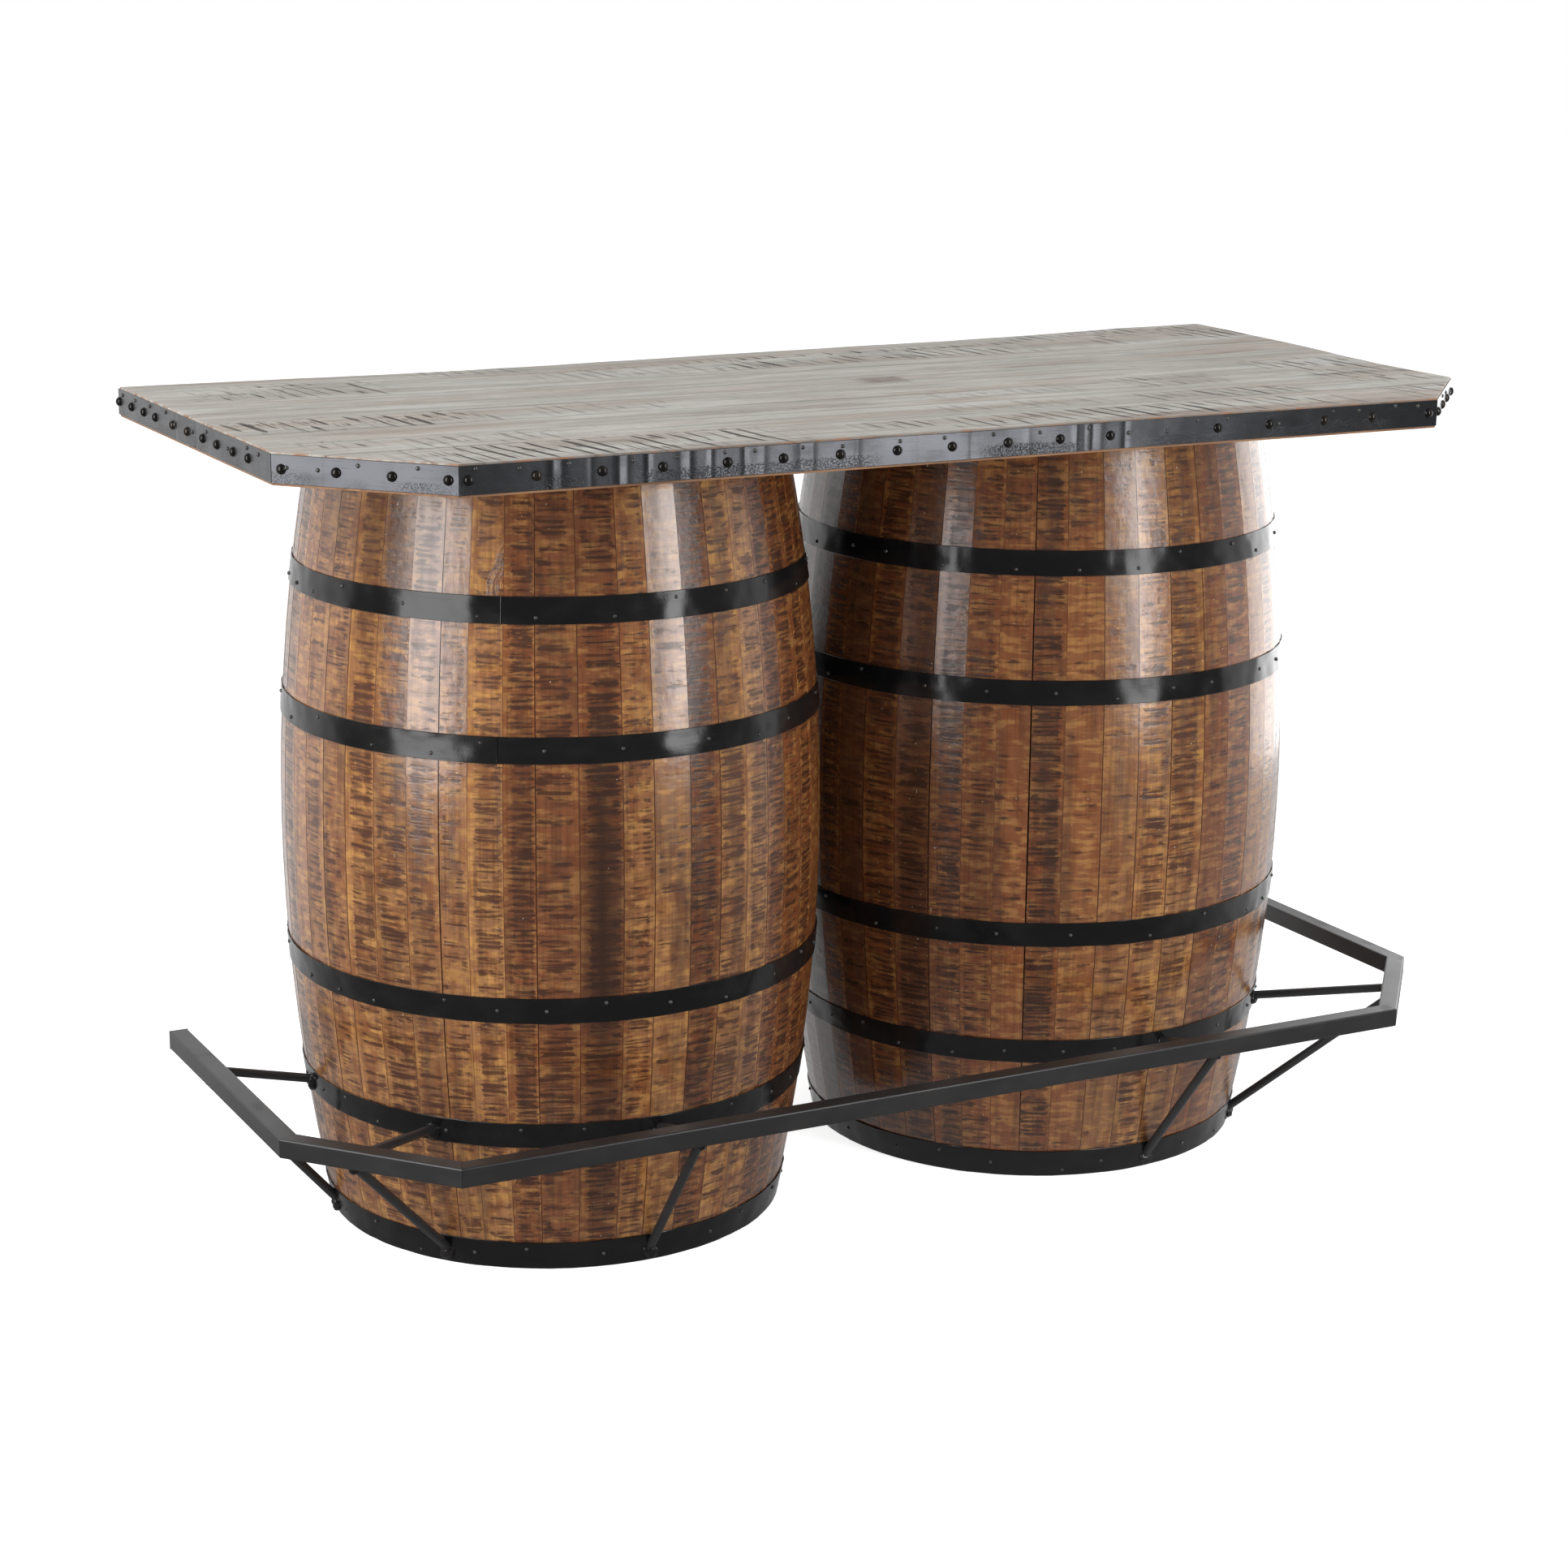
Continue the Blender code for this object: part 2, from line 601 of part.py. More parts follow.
def add_struts(iron):
    """The side pair is on the left barrel alone, as the right end of the rail has none."""
    path = rail_path()
    left_barrel, right_barrel = BARREL_CENTRES["left"], BARREL_CENTRES["right"]
    left_coping, right_coping = barrel_envelope("left"), barrel_envelope("right")
    to_left_end = (path[1] - path[2]).normalized()
    to_right_end = Vector((-to_left_end.x, to_left_end.y))
    left_corner = (path[1] + path[2]) / 2 + to_left_end * LEFT_CORNER_STRUTS_TO_END
    right_corner = (path[3] + path[4]) / 2 + to_right_end * RIGHT_CORNER_STRUTS_TO_END
    left_out = Vector((to_left_end.y, -to_left_end.x))
    left_out = left_out if left_out.x < 0 else -left_out
    right_out = Vector((-left_out.x, left_out.y))
    to_front, to_left = Vector((0, -1)), Vector((-1, 0))
    side_aim = Vector((path[0].x, left_barrel.y + LEFT_SIDE_STRUTS_BEHIND_BARREL))
    left_front = Vector((left_barrel.x, RAIL_FRONT_Y))
    right_front = Vector((right_barrel.x + RIGHT_FRONT_STRUTS_TO_END, RAIL_FRONT_Y))
    add_strut_pair("left", "side", side_aim, to_left, left_coping, iron)
    add_strut_pair("left", "corner", left_corner, left_out, left_coping, iron)
    add_strut_pair("left", "front", left_front, to_front, left_coping, iron)
    add_strut_pair("right", "front", right_front, to_front, right_coping, iron)
    add_strut_pair("right", "corner", right_corner, right_out, right_coping, iron)


def main():
    clear_scene()
    top_wood = finish("Limed plank top", (0.40, 0.36, 0.31), 0.45)
    edge_wood = finish("Raw mango edge", (0.36, 0.19, 0.09), 0.6)
    stave_wood = finish("Lacquered mango staves", (0.26, 0.11, 0.045), 0.22)
    head_wood = finish("Plain mango heads", (0.34, 0.20, 0.11), 0.6)
    band_iron = finish("Blackened iron band", (0.05, 0.055, 0.06), 0.35, 0.9)
    hoop_iron = finish("Black hoop iron", (0.02, 0.02, 0.022), 0.35, 0.6)
    rail_paint = finish("Satin black rail paint", (0.025, 0.025, 0.026), 0.35, 0.2)
    add_boards(top_wood)
    add_battens(edge_wood)
    add_bands(band_iron)
    for side in BARREL_CENTRES:
        add_barrel(side, stave_wood, head_wood, hoop_iron)
        add_cleat(side, head_wood)
    add_rail(rail_paint)
    add_struts(rail_paint)


main()
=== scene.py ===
"""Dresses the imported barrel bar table.

A limed plank top with cut front corners, edged with nailed iron band, stands on two lacquered barrels
with black hoops. A square foot rail on round struts runs round their front. All is in metres, in the
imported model's frame: +X along the bar to its right end, +Y to its back, +Z up from the floor.
"""

from __future__ import annotations

import bisect
import json
import logging
import math
import random
from collections.abc import Callable, Iterator, Sequence
from contextlib import contextmanager
from dataclasses import dataclass
from enum import Enum

import bmesh
import bpy
from mathutils import Matrix, Vector

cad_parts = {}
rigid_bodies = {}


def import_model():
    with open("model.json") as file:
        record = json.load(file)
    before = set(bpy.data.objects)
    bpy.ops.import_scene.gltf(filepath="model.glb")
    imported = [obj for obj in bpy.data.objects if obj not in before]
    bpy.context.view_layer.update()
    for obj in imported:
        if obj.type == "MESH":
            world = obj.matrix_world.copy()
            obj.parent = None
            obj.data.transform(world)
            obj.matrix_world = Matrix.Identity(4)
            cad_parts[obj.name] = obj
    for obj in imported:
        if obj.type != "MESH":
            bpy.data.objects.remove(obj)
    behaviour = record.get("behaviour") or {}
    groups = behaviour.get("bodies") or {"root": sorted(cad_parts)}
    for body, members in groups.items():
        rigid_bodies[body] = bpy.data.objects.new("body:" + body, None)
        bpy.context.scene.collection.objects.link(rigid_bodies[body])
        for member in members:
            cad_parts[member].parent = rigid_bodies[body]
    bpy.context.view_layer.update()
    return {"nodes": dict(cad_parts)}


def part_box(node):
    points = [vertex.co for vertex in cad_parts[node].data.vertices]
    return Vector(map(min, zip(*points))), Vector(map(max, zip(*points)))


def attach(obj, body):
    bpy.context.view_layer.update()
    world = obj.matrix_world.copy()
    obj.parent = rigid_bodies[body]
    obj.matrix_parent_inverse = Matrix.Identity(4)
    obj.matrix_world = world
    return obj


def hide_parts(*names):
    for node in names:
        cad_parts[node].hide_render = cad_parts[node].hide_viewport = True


for leftover in list(bpy.data.objects):
    bpy.data.objects.remove(leftover)
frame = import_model()

LOG = logging.getLogger("barrel_bar_table")
BODY = "root"
BARREL_X = 0.3675
BARREL_Y = 0.0633784
Colour = tuple[float, float, float, float]
WHITE: Colour = (1.0, 1.0, 1.0, 1.0)


def paint(red: int, green: int, blue: int) -> Colour:
    """A colour as it is seen on a screen, in shader values.

    Args:
        red: Red from 0 to 255.
        green: Green from 0 to 255.
        blue: Blue from 0 to 255.

    Returns:
        The colour with full alpha.
    """
    values = [channel / 255 for channel in (red, green, blue)]
    linear = [v / 12.92 if v <= 0.04045 else ((v + 0.055) / 1.055) ** 2.4 for v in values]
    return (*linear, 1.0)


class Element(Enum):
    """What an edit selects."""

    POINTS = "VERT"
    EDGES = "EDGE"


class Bench:
    """Blender's modelling operators, used on one piece at a time."""

    merged_within = 0.00002

    @staticmethod
    def pick(*pieces: bpy.types.Object) -> None:
        """Select some pieces alone and make the first one active.

        Args:
            *pieces: The pieces to select.
        """
        bpy.ops.object.select_all(action="DESELECT")
        for piece in pieces:
            piece.select_set(True)
        bpy.context.view_layer.objects.active = pieces[0]

    @staticmethod
    def take_new(name: str) -> bpy.types.Object:
        """Name the primitive just added and move its place into its mesh.

        Args:
            name: The piece's name.

        Returns:
            The piece, at the origin.
        """
        piece = bpy.context.object
        piece.name = name
        piece.data.name = name
        bpy.ops.object.transform_apply(location=True, rotation=True, scale=True)
        return piece

    @classmethod
    def sheet(
        cls,
        name: str,
        middle: Vector,
        turn: tuple[float, float, float],
        size: tuple[float, float],
        cells: tuple[int, int],
    ) -> bpy.types.Object:
        """A flat grid of faces.

        Args:
            name: The piece's name.
            middle: Where its middle is.
            turn: Its Euler angles.
            size: Its length and width before it is turned.
            cells: How many faces it has along and across.

        Returns:
            The new piece.
        """
        bpy.ops.object.select_all(action="DESELECT")
        bpy.ops.mesh.primitive_grid_add(
            x_subdivisions=cells[0],
            y_subdivisions=cells[1],
            size=1,
            location=middle,
            rotation=turn,
        )
        bpy.context.object.scale = (*size, 1)
        return cls.take_new(name)

    @staticmethod
    @contextmanager
    def editing(piece: bpy.types.Object) -> Iterator[None]:
        """Edit mode on one piece, for the length of a with block.

        Args:
            piece: The piece to edit.

        Returns:
            What the with statement takes.
        """
        Bench.pick(piece)
        bpy.ops.object.mode_set(mode="EDIT")
        yield
        bpy.ops.object.mode_set(mode="OBJECT")

    @staticmethod
    def select(
        piece: bpy.types.Object, kind: Element, wanted: Callable[[Vector], bool]
    ) -> None:
        """Select the elements whose every point is wanted, in edit mode.

        Args:
            piece: The piece being edited.
            kind: Points or edges.
            wanted: Says of a point's place whether it is wanted.
        """
        bpy.ops.mesh.select_mode(type=kind.value)
        bpy.ops.mesh.select_all(action="DESELECT")
        form = bmesh.from_edit_mesh(piece.data)
        if kind is Element.POINTS:
            for point in form.verts:
                point.select_set(wanted(point.co))
        else:
            for edge in form.edges:
                edge.select_set(all(wanted(point.co) for point in edge.verts))
        bmesh.update_edit_mesh(piece.data)

    @staticmethod
    def cut(piece: bpy.types.Object, spot: Vector, outward: Vector) -> None:
        """Cut a piece at a plane, drop what is beyond it and close the cut.

        Args:
            piece: The piece to cut.
            spot: A point of the plane.
            outward: The plane's normal, towards the part that is dropped.
        """
        with Bench.editing(piece):
            bpy.ops.mesh.select_all(action="SELECT")
            bpy.ops.mesh.bisect(
                plane_co=spot, plane_no=outward, use_fill=True, clear_outer=True
            )

    @staticmethod
    def modify(piece: bpy.types.Object, kind: str, **settings: object) -> None:
        """Add a modifier, set it and apply it.

        Args:
            piece: The piece to change.
            kind: The modifier's type.
            **settings: Its settings.
        """
        Bench.pick(piece)
        step = piece.modifiers.new(kind.title(), kind)
        for key, value in settings.items():
            setattr(step, key, value)
        bpy.ops.object.modifier_apply(modifier=step.name)

    @staticmethod
    def dent(piece: bpy.types.Object, size: float, depth: float) -> None:
        """Raise and lower a piece's surface a little in soft random dents.

        Args:
            piece: The piece to change.
            size: How wide the dents are.
            depth: How far the highest is above the lowest.
        """
        pattern = bpy.data.textures.new(f"{piece.name}_dents", "CLOUDS")
        pattern.noise_scale = size
        Bench.modify(piece, "DISPLACE", texture=pattern, strength=depth, mid_level=0.5)

    @staticmethod
    def ease(
        piece: bpy.types.Object,
        width: float,
        segments: int,
        sharper_than: float = 1.0,
        **settings: object,
    ) -> None:
        """Bevel a piece's sharp edges.

        Args:
            piece: The piece to change.
            width: How wide the bevel is.
            segments: How many faces it has across.
            sharper_than: The least angle of an edge that gets it, in radians.
            **settings: Further settings of the modifier.
        """
        Bench.modify(
            piece,
            "BEVEL",
            width=width,
            segments=segments,
            limit_method="ANGLE",
            angle_limit=sharper_than,
            **settings,
        )

    @staticmethod
    def turn_outwards(piece: bpy.types.Object) -> None:
        """Merge a piece's doubled points and turn all its faces outwards.

        Args:
            piece: The piece to change.
        """
        with Bench.editing(piece):
            bpy.ops.mesh.select_all(action="SELECT")
            bpy.ops.mesh.remove_doubles(threshold=Bench.merged_within)
            bpy.ops.mesh.normals_make_consistent(inside=False)

    @staticmethod
    def smooth(piece: bpy.types.Object, degrees: float = 35) -> None:
        """Shade a piece smooth except at edges sharper than an angle."""
        Bench.pick(piece)
        bpy.ops.object.shade_smooth_by_angle(angle=math.radians(degrees))

    @staticmethod
    def copy(master: bpy.types.Object, place: Matrix) -> bpy.types.Object:
        """A copy of a piece with its own mesh, put in place.

        Args:
            master: The piece to copy.
            place: Where the copy goes.

        Returns:
            The copy, whose place isn't yet in its mesh.
        """
        Bench.pick(master)
        bpy.ops.object.duplicate(linked=False)
        other = bpy.context.object
        other.matrix_world = place
        return other

    @staticmethod
    def join(name: str, pieces: Sequence[bpy.types.Object]) -> bpy.types.Object:
        """Make one piece of several, with their places in its mesh.

        Args:
            name: The new piece's name.
            pieces: The pieces to join.

        Returns:
            The joined piece, at the origin.
        """
        Bench.pick(*pieces)
        bpy.ops.object.transform_apply(location=True, rotation=True, scale=True)
        bpy.ops.object.join()
        joined = bpy.context.object
        joined.name = name
        joined.data.name = name
        return joined

    @staticmethod
    def repeat(
        name: str, master: bpy.types.Object, places: Sequence[Matrix]
    ) -> bpy.types.Object:
        """One piece made of copies of a master, which is then thrown away.

        Args:
            name: The new piece's name.
            master: What is copied.
            places: Where each copy goes.

        Returns:
            The new piece.
        """
        joined = Bench.join(name, [Bench.copy(master, place) for place in places])
        bpy.data.objects.remove(master)
        return joined

    @staticmethod
    def mark(
        piece: bpy.types.Object, name: str, value: Callable[[Vector], float]
    ) -> None:
        """Store a number at every point of a piece, for its finish to read.

        Args:
            piece: The piece.
            name: The attribute's name.
            value: Gives the number from a point's place.
        """
        numbers = piece.data.attributes.new(name, "FLOAT", "POINT")
        numbers.data.foreach_set("value", [value(v.co) for v in piece.data.vertices])


def hand_over(
    piece: bpy.types.Object, finish: bpy.types.Material, slot: str, *nodes: str
) -> None:
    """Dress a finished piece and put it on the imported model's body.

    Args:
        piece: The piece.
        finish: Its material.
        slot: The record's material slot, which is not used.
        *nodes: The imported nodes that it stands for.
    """
    piece.data.materials.clear()
    piece.data.materials.append(finish)
    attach(piece, BODY)
    if nodes:
        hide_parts(*nodes)
    LOG.info("%s: %d faces, for %s", piece.name, len(piece.data.polygons), nodes or "itself")


def dress_nodes(finish: bpy.types.Material, nodes: Sequence[str]) -> None:
    """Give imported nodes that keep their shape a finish.

    Args:
        finish: Their material.
        nodes: The nodes' names.
    """
    for name in nodes:
        node = frame["nodes"][name]
        node.data.materials.clear()
        node.data.materials.append(finish)
    LOG.info("dressed %s", ", ".join(nodes))


class Number:
    """A shader number that takes part in sums as a Python number does."""

    def __init__(self, recipe: Recipe, socket: bpy.types.NodeSocket) -> None:
        """Wrap a socket of a recipe's nodes.

        Args:
            recipe: The finish that the number belongs to.
            socket: The socket that gives it.
        """
        self.recipe = recipe
        self.socket = socket

    def work(self, operation: str, *others: Number | float) -> Number:
        """The result of a Math node on this number and others.

        Args:
            operation: What the node works out.
            *others: The numbers after this one.

        Returns:
            The result.
        """
        values = dict(enumerate((self, *others)))
        node = self.recipe.node("ShaderNodeMath", {"operation": operation}, values)
        return Number(self.recipe, node.outputs[0])

    def __add__(self, other: Number | float) -> Number:
        """This number and another."""
        return self.work("ADD", other)

    __radd__ = __add__

    def __mul__(self, other: Number | float) -> Number:
        """This number times another."""
        return self.work("MULTIPLY", other)

    __rmul__ = __mul__

    def __sub__(self, other: Number | float) -> Number:
        """This number less another."""
        return self.work("SUBTRACT", other)

    def __rsub__(self, other: Number | float) -> Number:
        """Another number less this one."""
        return self.work("MULTIPLY", -1.0).work("ADD", other)

    def __abs__(self) -> Number:
        """This number without its sign."""
        return self.work("ABSOLUTE")

    def __floor__(self) -> Number:
        """The whole number below this one."""
        return self.work("FLOOR")

    def fraction(self) -> Number:
        """What is left above the whole number below."""
        return self.work("FRACT")

    def least(self, other: Number) -> Number:
        """The smaller of this number and another."""
        return self.work("MINIMUM", other)

    def most(self, other: Number) -> Number:
        """The larger of this number and another."""
        return self.work("MAXIMUM", other)

    def rise(self, low: float, high: float) -> Number:
        """A soft step: 0 up to one value, 1 from another.

        Args:
            low: Where it starts to rise.
            high: Where it has risen.

        Returns:
            The step.
        """
        node = self.recipe.node(
            "ShaderNodeMapRange",
            {"interpolation_type": "SMOOTHSTEP"},
            {"Value": self, "From Min": low, "From Max": high},
        )
        return Number(self.recipe, node.outputs[0])


class Recipe:
    """The shader nodes of one finish."""

    def __init__(self, name: str) -> None:
        """Start a material with its shader and the places of its points.

        Args:
            name: The material's name.
        """
        self.material = bpy.data.materials.new(name)
        self.material.use_nodes = True
        self.tree = self.material.node_tree
        self.shader = self.tree.nodes["Principled BSDF"]
        self.read_places("Object")

    @classmethod
    def of_world(cls, world: bpy.types.World) -> Recipe:
        """The nodes of the surroundings, where a place is a direction.

        Args:
            world: The surroundings.

        Returns:
            Their recipe, which has no material.
        """
        recipe = cls.__new__(cls)
        recipe.tree = world.node_tree
        recipe.read_places("Generated")
        return recipe

    def read_places(self, kind: str) -> None:
        """Split the places of the points into their three axes.

        Args:
            kind: The coordinates to read.
        """
        spot = self.node("ShaderNodeTexCoord").outputs[kind]
        axes = self.node("ShaderNodeSeparateXYZ", inputs={0: spot}).outputs
        self.x, self.y, self.z = (Number(self, axis) for axis in axes)

    def fill(self, socket: bpy.types.NodeSocket, value: object) -> None:
        """Link a number or socket to a socket, or set its value.

        Args:
            socket: The socket to fill.
            value: A number of the recipe, an output socket or a plain value.
        """
        if isinstance(value, Number):
            self.tree.links.new(value.socket, socket)
        elif isinstance(value, bpy.types.NodeSocket):
            self.tree.links.new(value, socket)
        else:
            socket.default_value = value

    def node(
        self,
        kind: str,
        settings: dict[str, object] | None = None,
        inputs: dict[int | str, object] | None = None,
    ) -> bpy.types.Node:
        """Any node, with its settings made before its sockets are filled.

        Args:
            kind: The node's type.
            settings: Its settings, and a ramp's stops as (place, colour) pairs.
            inputs: What goes into its sockets.

        Returns:
            The node.
        """
        node = self.tree.nodes.new(kind)
        for key, value in (settings or {}).items():
            if key != "stops":
                setattr(node, key, value)
                continue
            for number, (place, colour) in enumerate(value):
                stops = node.color_ramp.elements
                stop = stops[number] if number < 2 else stops.new(place)
                stop.position = place
                stop.color = colour
        for key, value in (inputs or {}).items():
            self.fill(node.inputs[key], value)
        return node

    def stored(self, name: str) -> Number:
        """A number that the piece's own points carry."""
        node = self.node("ShaderNodeAttribute", {"attribute_name": name})
        return Number(self, node.outputs["Fac"])

    def noise(
        self,
        x: Number | float,
        y: Number | float,
        z: Number | float,
        detail: float = 1.0,
    ) -> Number:
        """Soft random numbers about 0.5.

        Args:
            x: Place along the first axis.
            y: Place along the second axis.
            z: Place along the third axis.
            detail: How many finer layers there are.

        Returns:
            The noise.
        """
        spot = self.node("ShaderNodeCombineXYZ", inputs={0: x, 1: y, 2: z}).outputs[0]
        inputs = {"Vector": spot, "Scale": 1.0, "Detail": detail}
        return Number(self, self.node("ShaderNodeTexNoise", inputs=inputs).outputs[0])

    def chance(self, number: Number) -> Number:
        """A random number from 0 to 1 for each different number.

        Args:
            number: The number that picks it.

        Returns:
            The random number.
        """
        node = self.node(
            "ShaderNodeTexWhiteNoise", {"noise_dimensions": "1D"}, {"W": number}
        )
        return Number(self, node.outputs["Value"])

    def mix(self, share: Number | float, first: object, second: object) -> object:
        """A colour between two, by the share of the second."""
        inputs = {0: share, 6: first, 7: second}
        return self.node("ShaderNodeMix", {"data_type": "RGBA"}, inputs).outputs[2]

    def finish(self, constants: dict[str, object], **varying: object) -> bpy.types.Material:
        """Fill the shader.

        Args:
            constants: What is the same all over, by socket name.
            **varying: What changes, by socket name with _ for a space.

        Returns:
            The material.
        """
        for name, value in constants.items():
            self.shader.inputs[name].default_value = value
        for name, value in varying.items():
            self.fill(self.shader.inputs[name.replace("_", " ")], value)
        return self.material

    def glow(self, strength: Number) -> bpy.types.NodeSocket:
        """White light of a strength."""
        inputs = {"Color": WHITE, "Strength": strength}
        return self.node("ShaderNodeEmission", inputs=inputs).outputs[0]

    def relief(self, height: Number, depth: float) -> bpy.types.NodeSocket:
        """A normal that follows a height.

        Args:
            height: The height, from 0 to 1.
            depth: How deep that is in metres.

        Returns:
            The normal.
        """
        inputs = {"Height": height, "Distance": depth}
        return self.node("ShaderNodeBump", inputs=inputs).outputs[0]


class StaveTone(Enum):
    """The tones of mango wood that show in the staves, and their places on the ramp."""

    HONEY = 0.0
    TAN = 0.2
    ORANGE = 0.4
    BROWN = 0.6
    PLUM = 0.8
    DARK = 1.0


class StaveMarks(Enum):
    """How a stave is marked: by rows of dashes and by fine comb lines."""

    FEW = (0.25, 0.25)
    ROWS = (0.95, 0.4)
    COMB = (0.35, 1.0)
    DENSE = (1.0, 0.9)


@dataclass(frozen=True)
class StaveFinish:
    """Lacquered mango staves with dark saw marks across them."""

    honey: Colour = paint(166, 116, 74)
    tan: Colour = paint(150, 104, 66)
    orange: Colour = paint(138, 82, 46)
    brown: Colour = paint(122, 73, 43)
    plum: Colour = paint(106, 67, 48)
    dark: Colour = paint(80, 49, 32)
    gold: Colour = paint(194, 142, 78)
    russet: Colour = paint(118, 59, 27)
    # Dark brown of the grain and the smears, also used for the painted shade that the stored patches
    # carry.
    dark_wood_and_shade: Colour = paint(52, 31, 19)
    pale_ink: Colour = paint(74, 41, 26)
    deep_ink: Colour = paint(36, 22, 15)
    seam: Colour = paint(58, 34, 22)
    chip: Colour = paint(226, 214, 190)
    gloss: float = 0.9
    least_rough: float = 0.18
    added_rough: float = 0.08
    relief_depth: float = 0.00014
    rows_per_metre: tuple[float, float] = (42, 76)
    row_height: tuple[float, float] = (1.05, 1.30)
    edge_from: float = 0.955
    edge_to: float = 0.99

    def make(self) -> bpy.types.Material:
        """Make the material, which reads the numbers stored on the staves.

        Returns:
            The material.
        """
        recipe = Recipe("lacquered_staves")
        seed, across = recipe.stored("seed"), recipe.stored("across")
        tone, comb = recipe.stored("tone"), recipe.stored("comb")
        z = recipe.z
        fray = recipe.noise(across * 2.2, seed * 31, z * 300, detail=2.0) - 0.5
        threads = recipe.noise(across * 0.4, seed * 9, z * 250, detail=1.0)
        dashes = self.saw_rows(recipe, seed, across, fray)
        dashes = dashes * (threads.rise(0.42, 0.56) * 0.6 + 0.4)
        inside = (0.86 - abs(across) + fray * 0.8).rise(0, 0.15)
        patches = recipe.noise(across * 0.9, seed * 17, z * 14, detail=2.0).rise(0.42, 0.58)
        lines = threads.rise(0.49, 0.58) * inside * patches * comb
        grain = recipe.noise(across * 8, seed * 4, z * 7, detail=4.0)
        fine = recipe.noise(across * 34, seed * 4, z * 46, detail=2.0)
        dark_patch = recipe.noise(across * 1.1, seed * 6, z * 5, detail=3.0).rise(0.46, 0.70)
        golden = recipe.noise(across * 0.8, seed * 41, z * 140, detail=3.0).rise(0.46, 0.60)
        reddish = recipe.noise(across * 1.3, seed * 53, z * 26, detail=4.0).rise(0.46, 0.62)
        stops = zip(StaveTone, (self.honey, self.tan, self.orange, self.brown, self.plum, self.dark))
        ramp = recipe.node(
            "ShaderNodeValToRGB",
            {"stops": [(name.value, colour) for name, colour in stops]},
            {"Fac": tone},
        )
        colour = recipe.mix(golden * (1.1 - tone) * 0.75, ramp.outputs[0], self.gold)
        colour = recipe.mix(reddish * 0.5, colour, self.russet)
        faded = (seed * 3.1).fraction().rise(0.45, 1.0)
        colour = recipe.mix(faded * 0.3, colour, self.plum)
        colour = recipe.mix(grain.rise(0.4, 0.7) * 0.28, colour, self.dark_wood_and_shade)
        colour = recipe.mix(fine.rise(0.5, 0.8) * 0.3, colour, self.brown)
        # Painted shade and smears: the stored patches darken the barrel under the top's overhang and
        # between the barrels, and are smears lower down; random dark patches add smears all over.
        colour = recipe.mix(recipe.stored("smoky").most(dark_patch * 0.42), colour, self.dark_wood_and_shade)
        ink = recipe.mix(tone, self.pale_ink, self.deep_ink)
        colour = recipe.mix(lines * 0.78, colour, ink)
        colour = recipe.mix(dashes * 0.88, colour, ink)
        edge = abs(across).rise(self.edge_from, self.edge_to)
        colour = recipe.mix(edge * 0.75, colour, self.seam)
        chips = recipe.noise(across * 9, seed * 3, z * 280, detail=0.0).rise(0.86, 0.885)
        colour = recipe.mix(chips * 0.7, colour, self.chip)
        wave = recipe.noise(across * 1.4, seed * 77, z * 64, detail=2.0)
        height = wave * 2.2 + fine * 0.3 - (dashes + lines).rise(0, 1.4) * 0.5
        return recipe.finish(
            {"Metallic": 0.0, "Specular IOR Level": self.gloss},
            Base_Color=colour,
            Roughness=dashes * self.added_rough + dark_patch * self.added_rough + self.least_rough,
            Normal=recipe.relief(height, self.relief_depth),
        )

    def saw_rows(self, recipe: Recipe, seed: Number, across: Number, fray: Number) -> Number:
        """Rows of dark blots that a coarse saw left, frayed into fine lines.

        Args:
            recipe: The finish being made.
            seed: The stave's own number.
            across: Place across the stave, from -1 to 1.
            fray: Noise about 0 that frays the ends of the rows.

        Returns:
            1 inside a blot.
        """
        z = recipe.z
        fewest, most = self.rows_per_metre
        rate = (seed * 7.31).fraction() * (most - fewest) + fewest
        wander = recipe.noise(seed * 11, 0.0, z * 16, detail=1.0) * 3
        beat = abs((z * rate + wander + seed * 57).fraction() - 0.5) * 2
        blots = recipe.noise(across * 1.1, seed * 31, z * 48, detail=2.0)
        stretch = recipe.noise(seed * 23, 4.0, z * 6, detail=1.0)
        depth = beat * 0.30 + blots * 0.8 + fray * 0.5 + stretch * 0.8
        aside = (seed * 13.7).fraction() * 0.5 - 0.25
        reach = (seed * 5.3).fraction() * 0.2 + 0.72
        span = (reach - abs(across - aside) + fray * 0.9).rise(0, 0.14)
        return (depth + recipe.stored("rows") * 0.3).rise(*self.row_height) * span


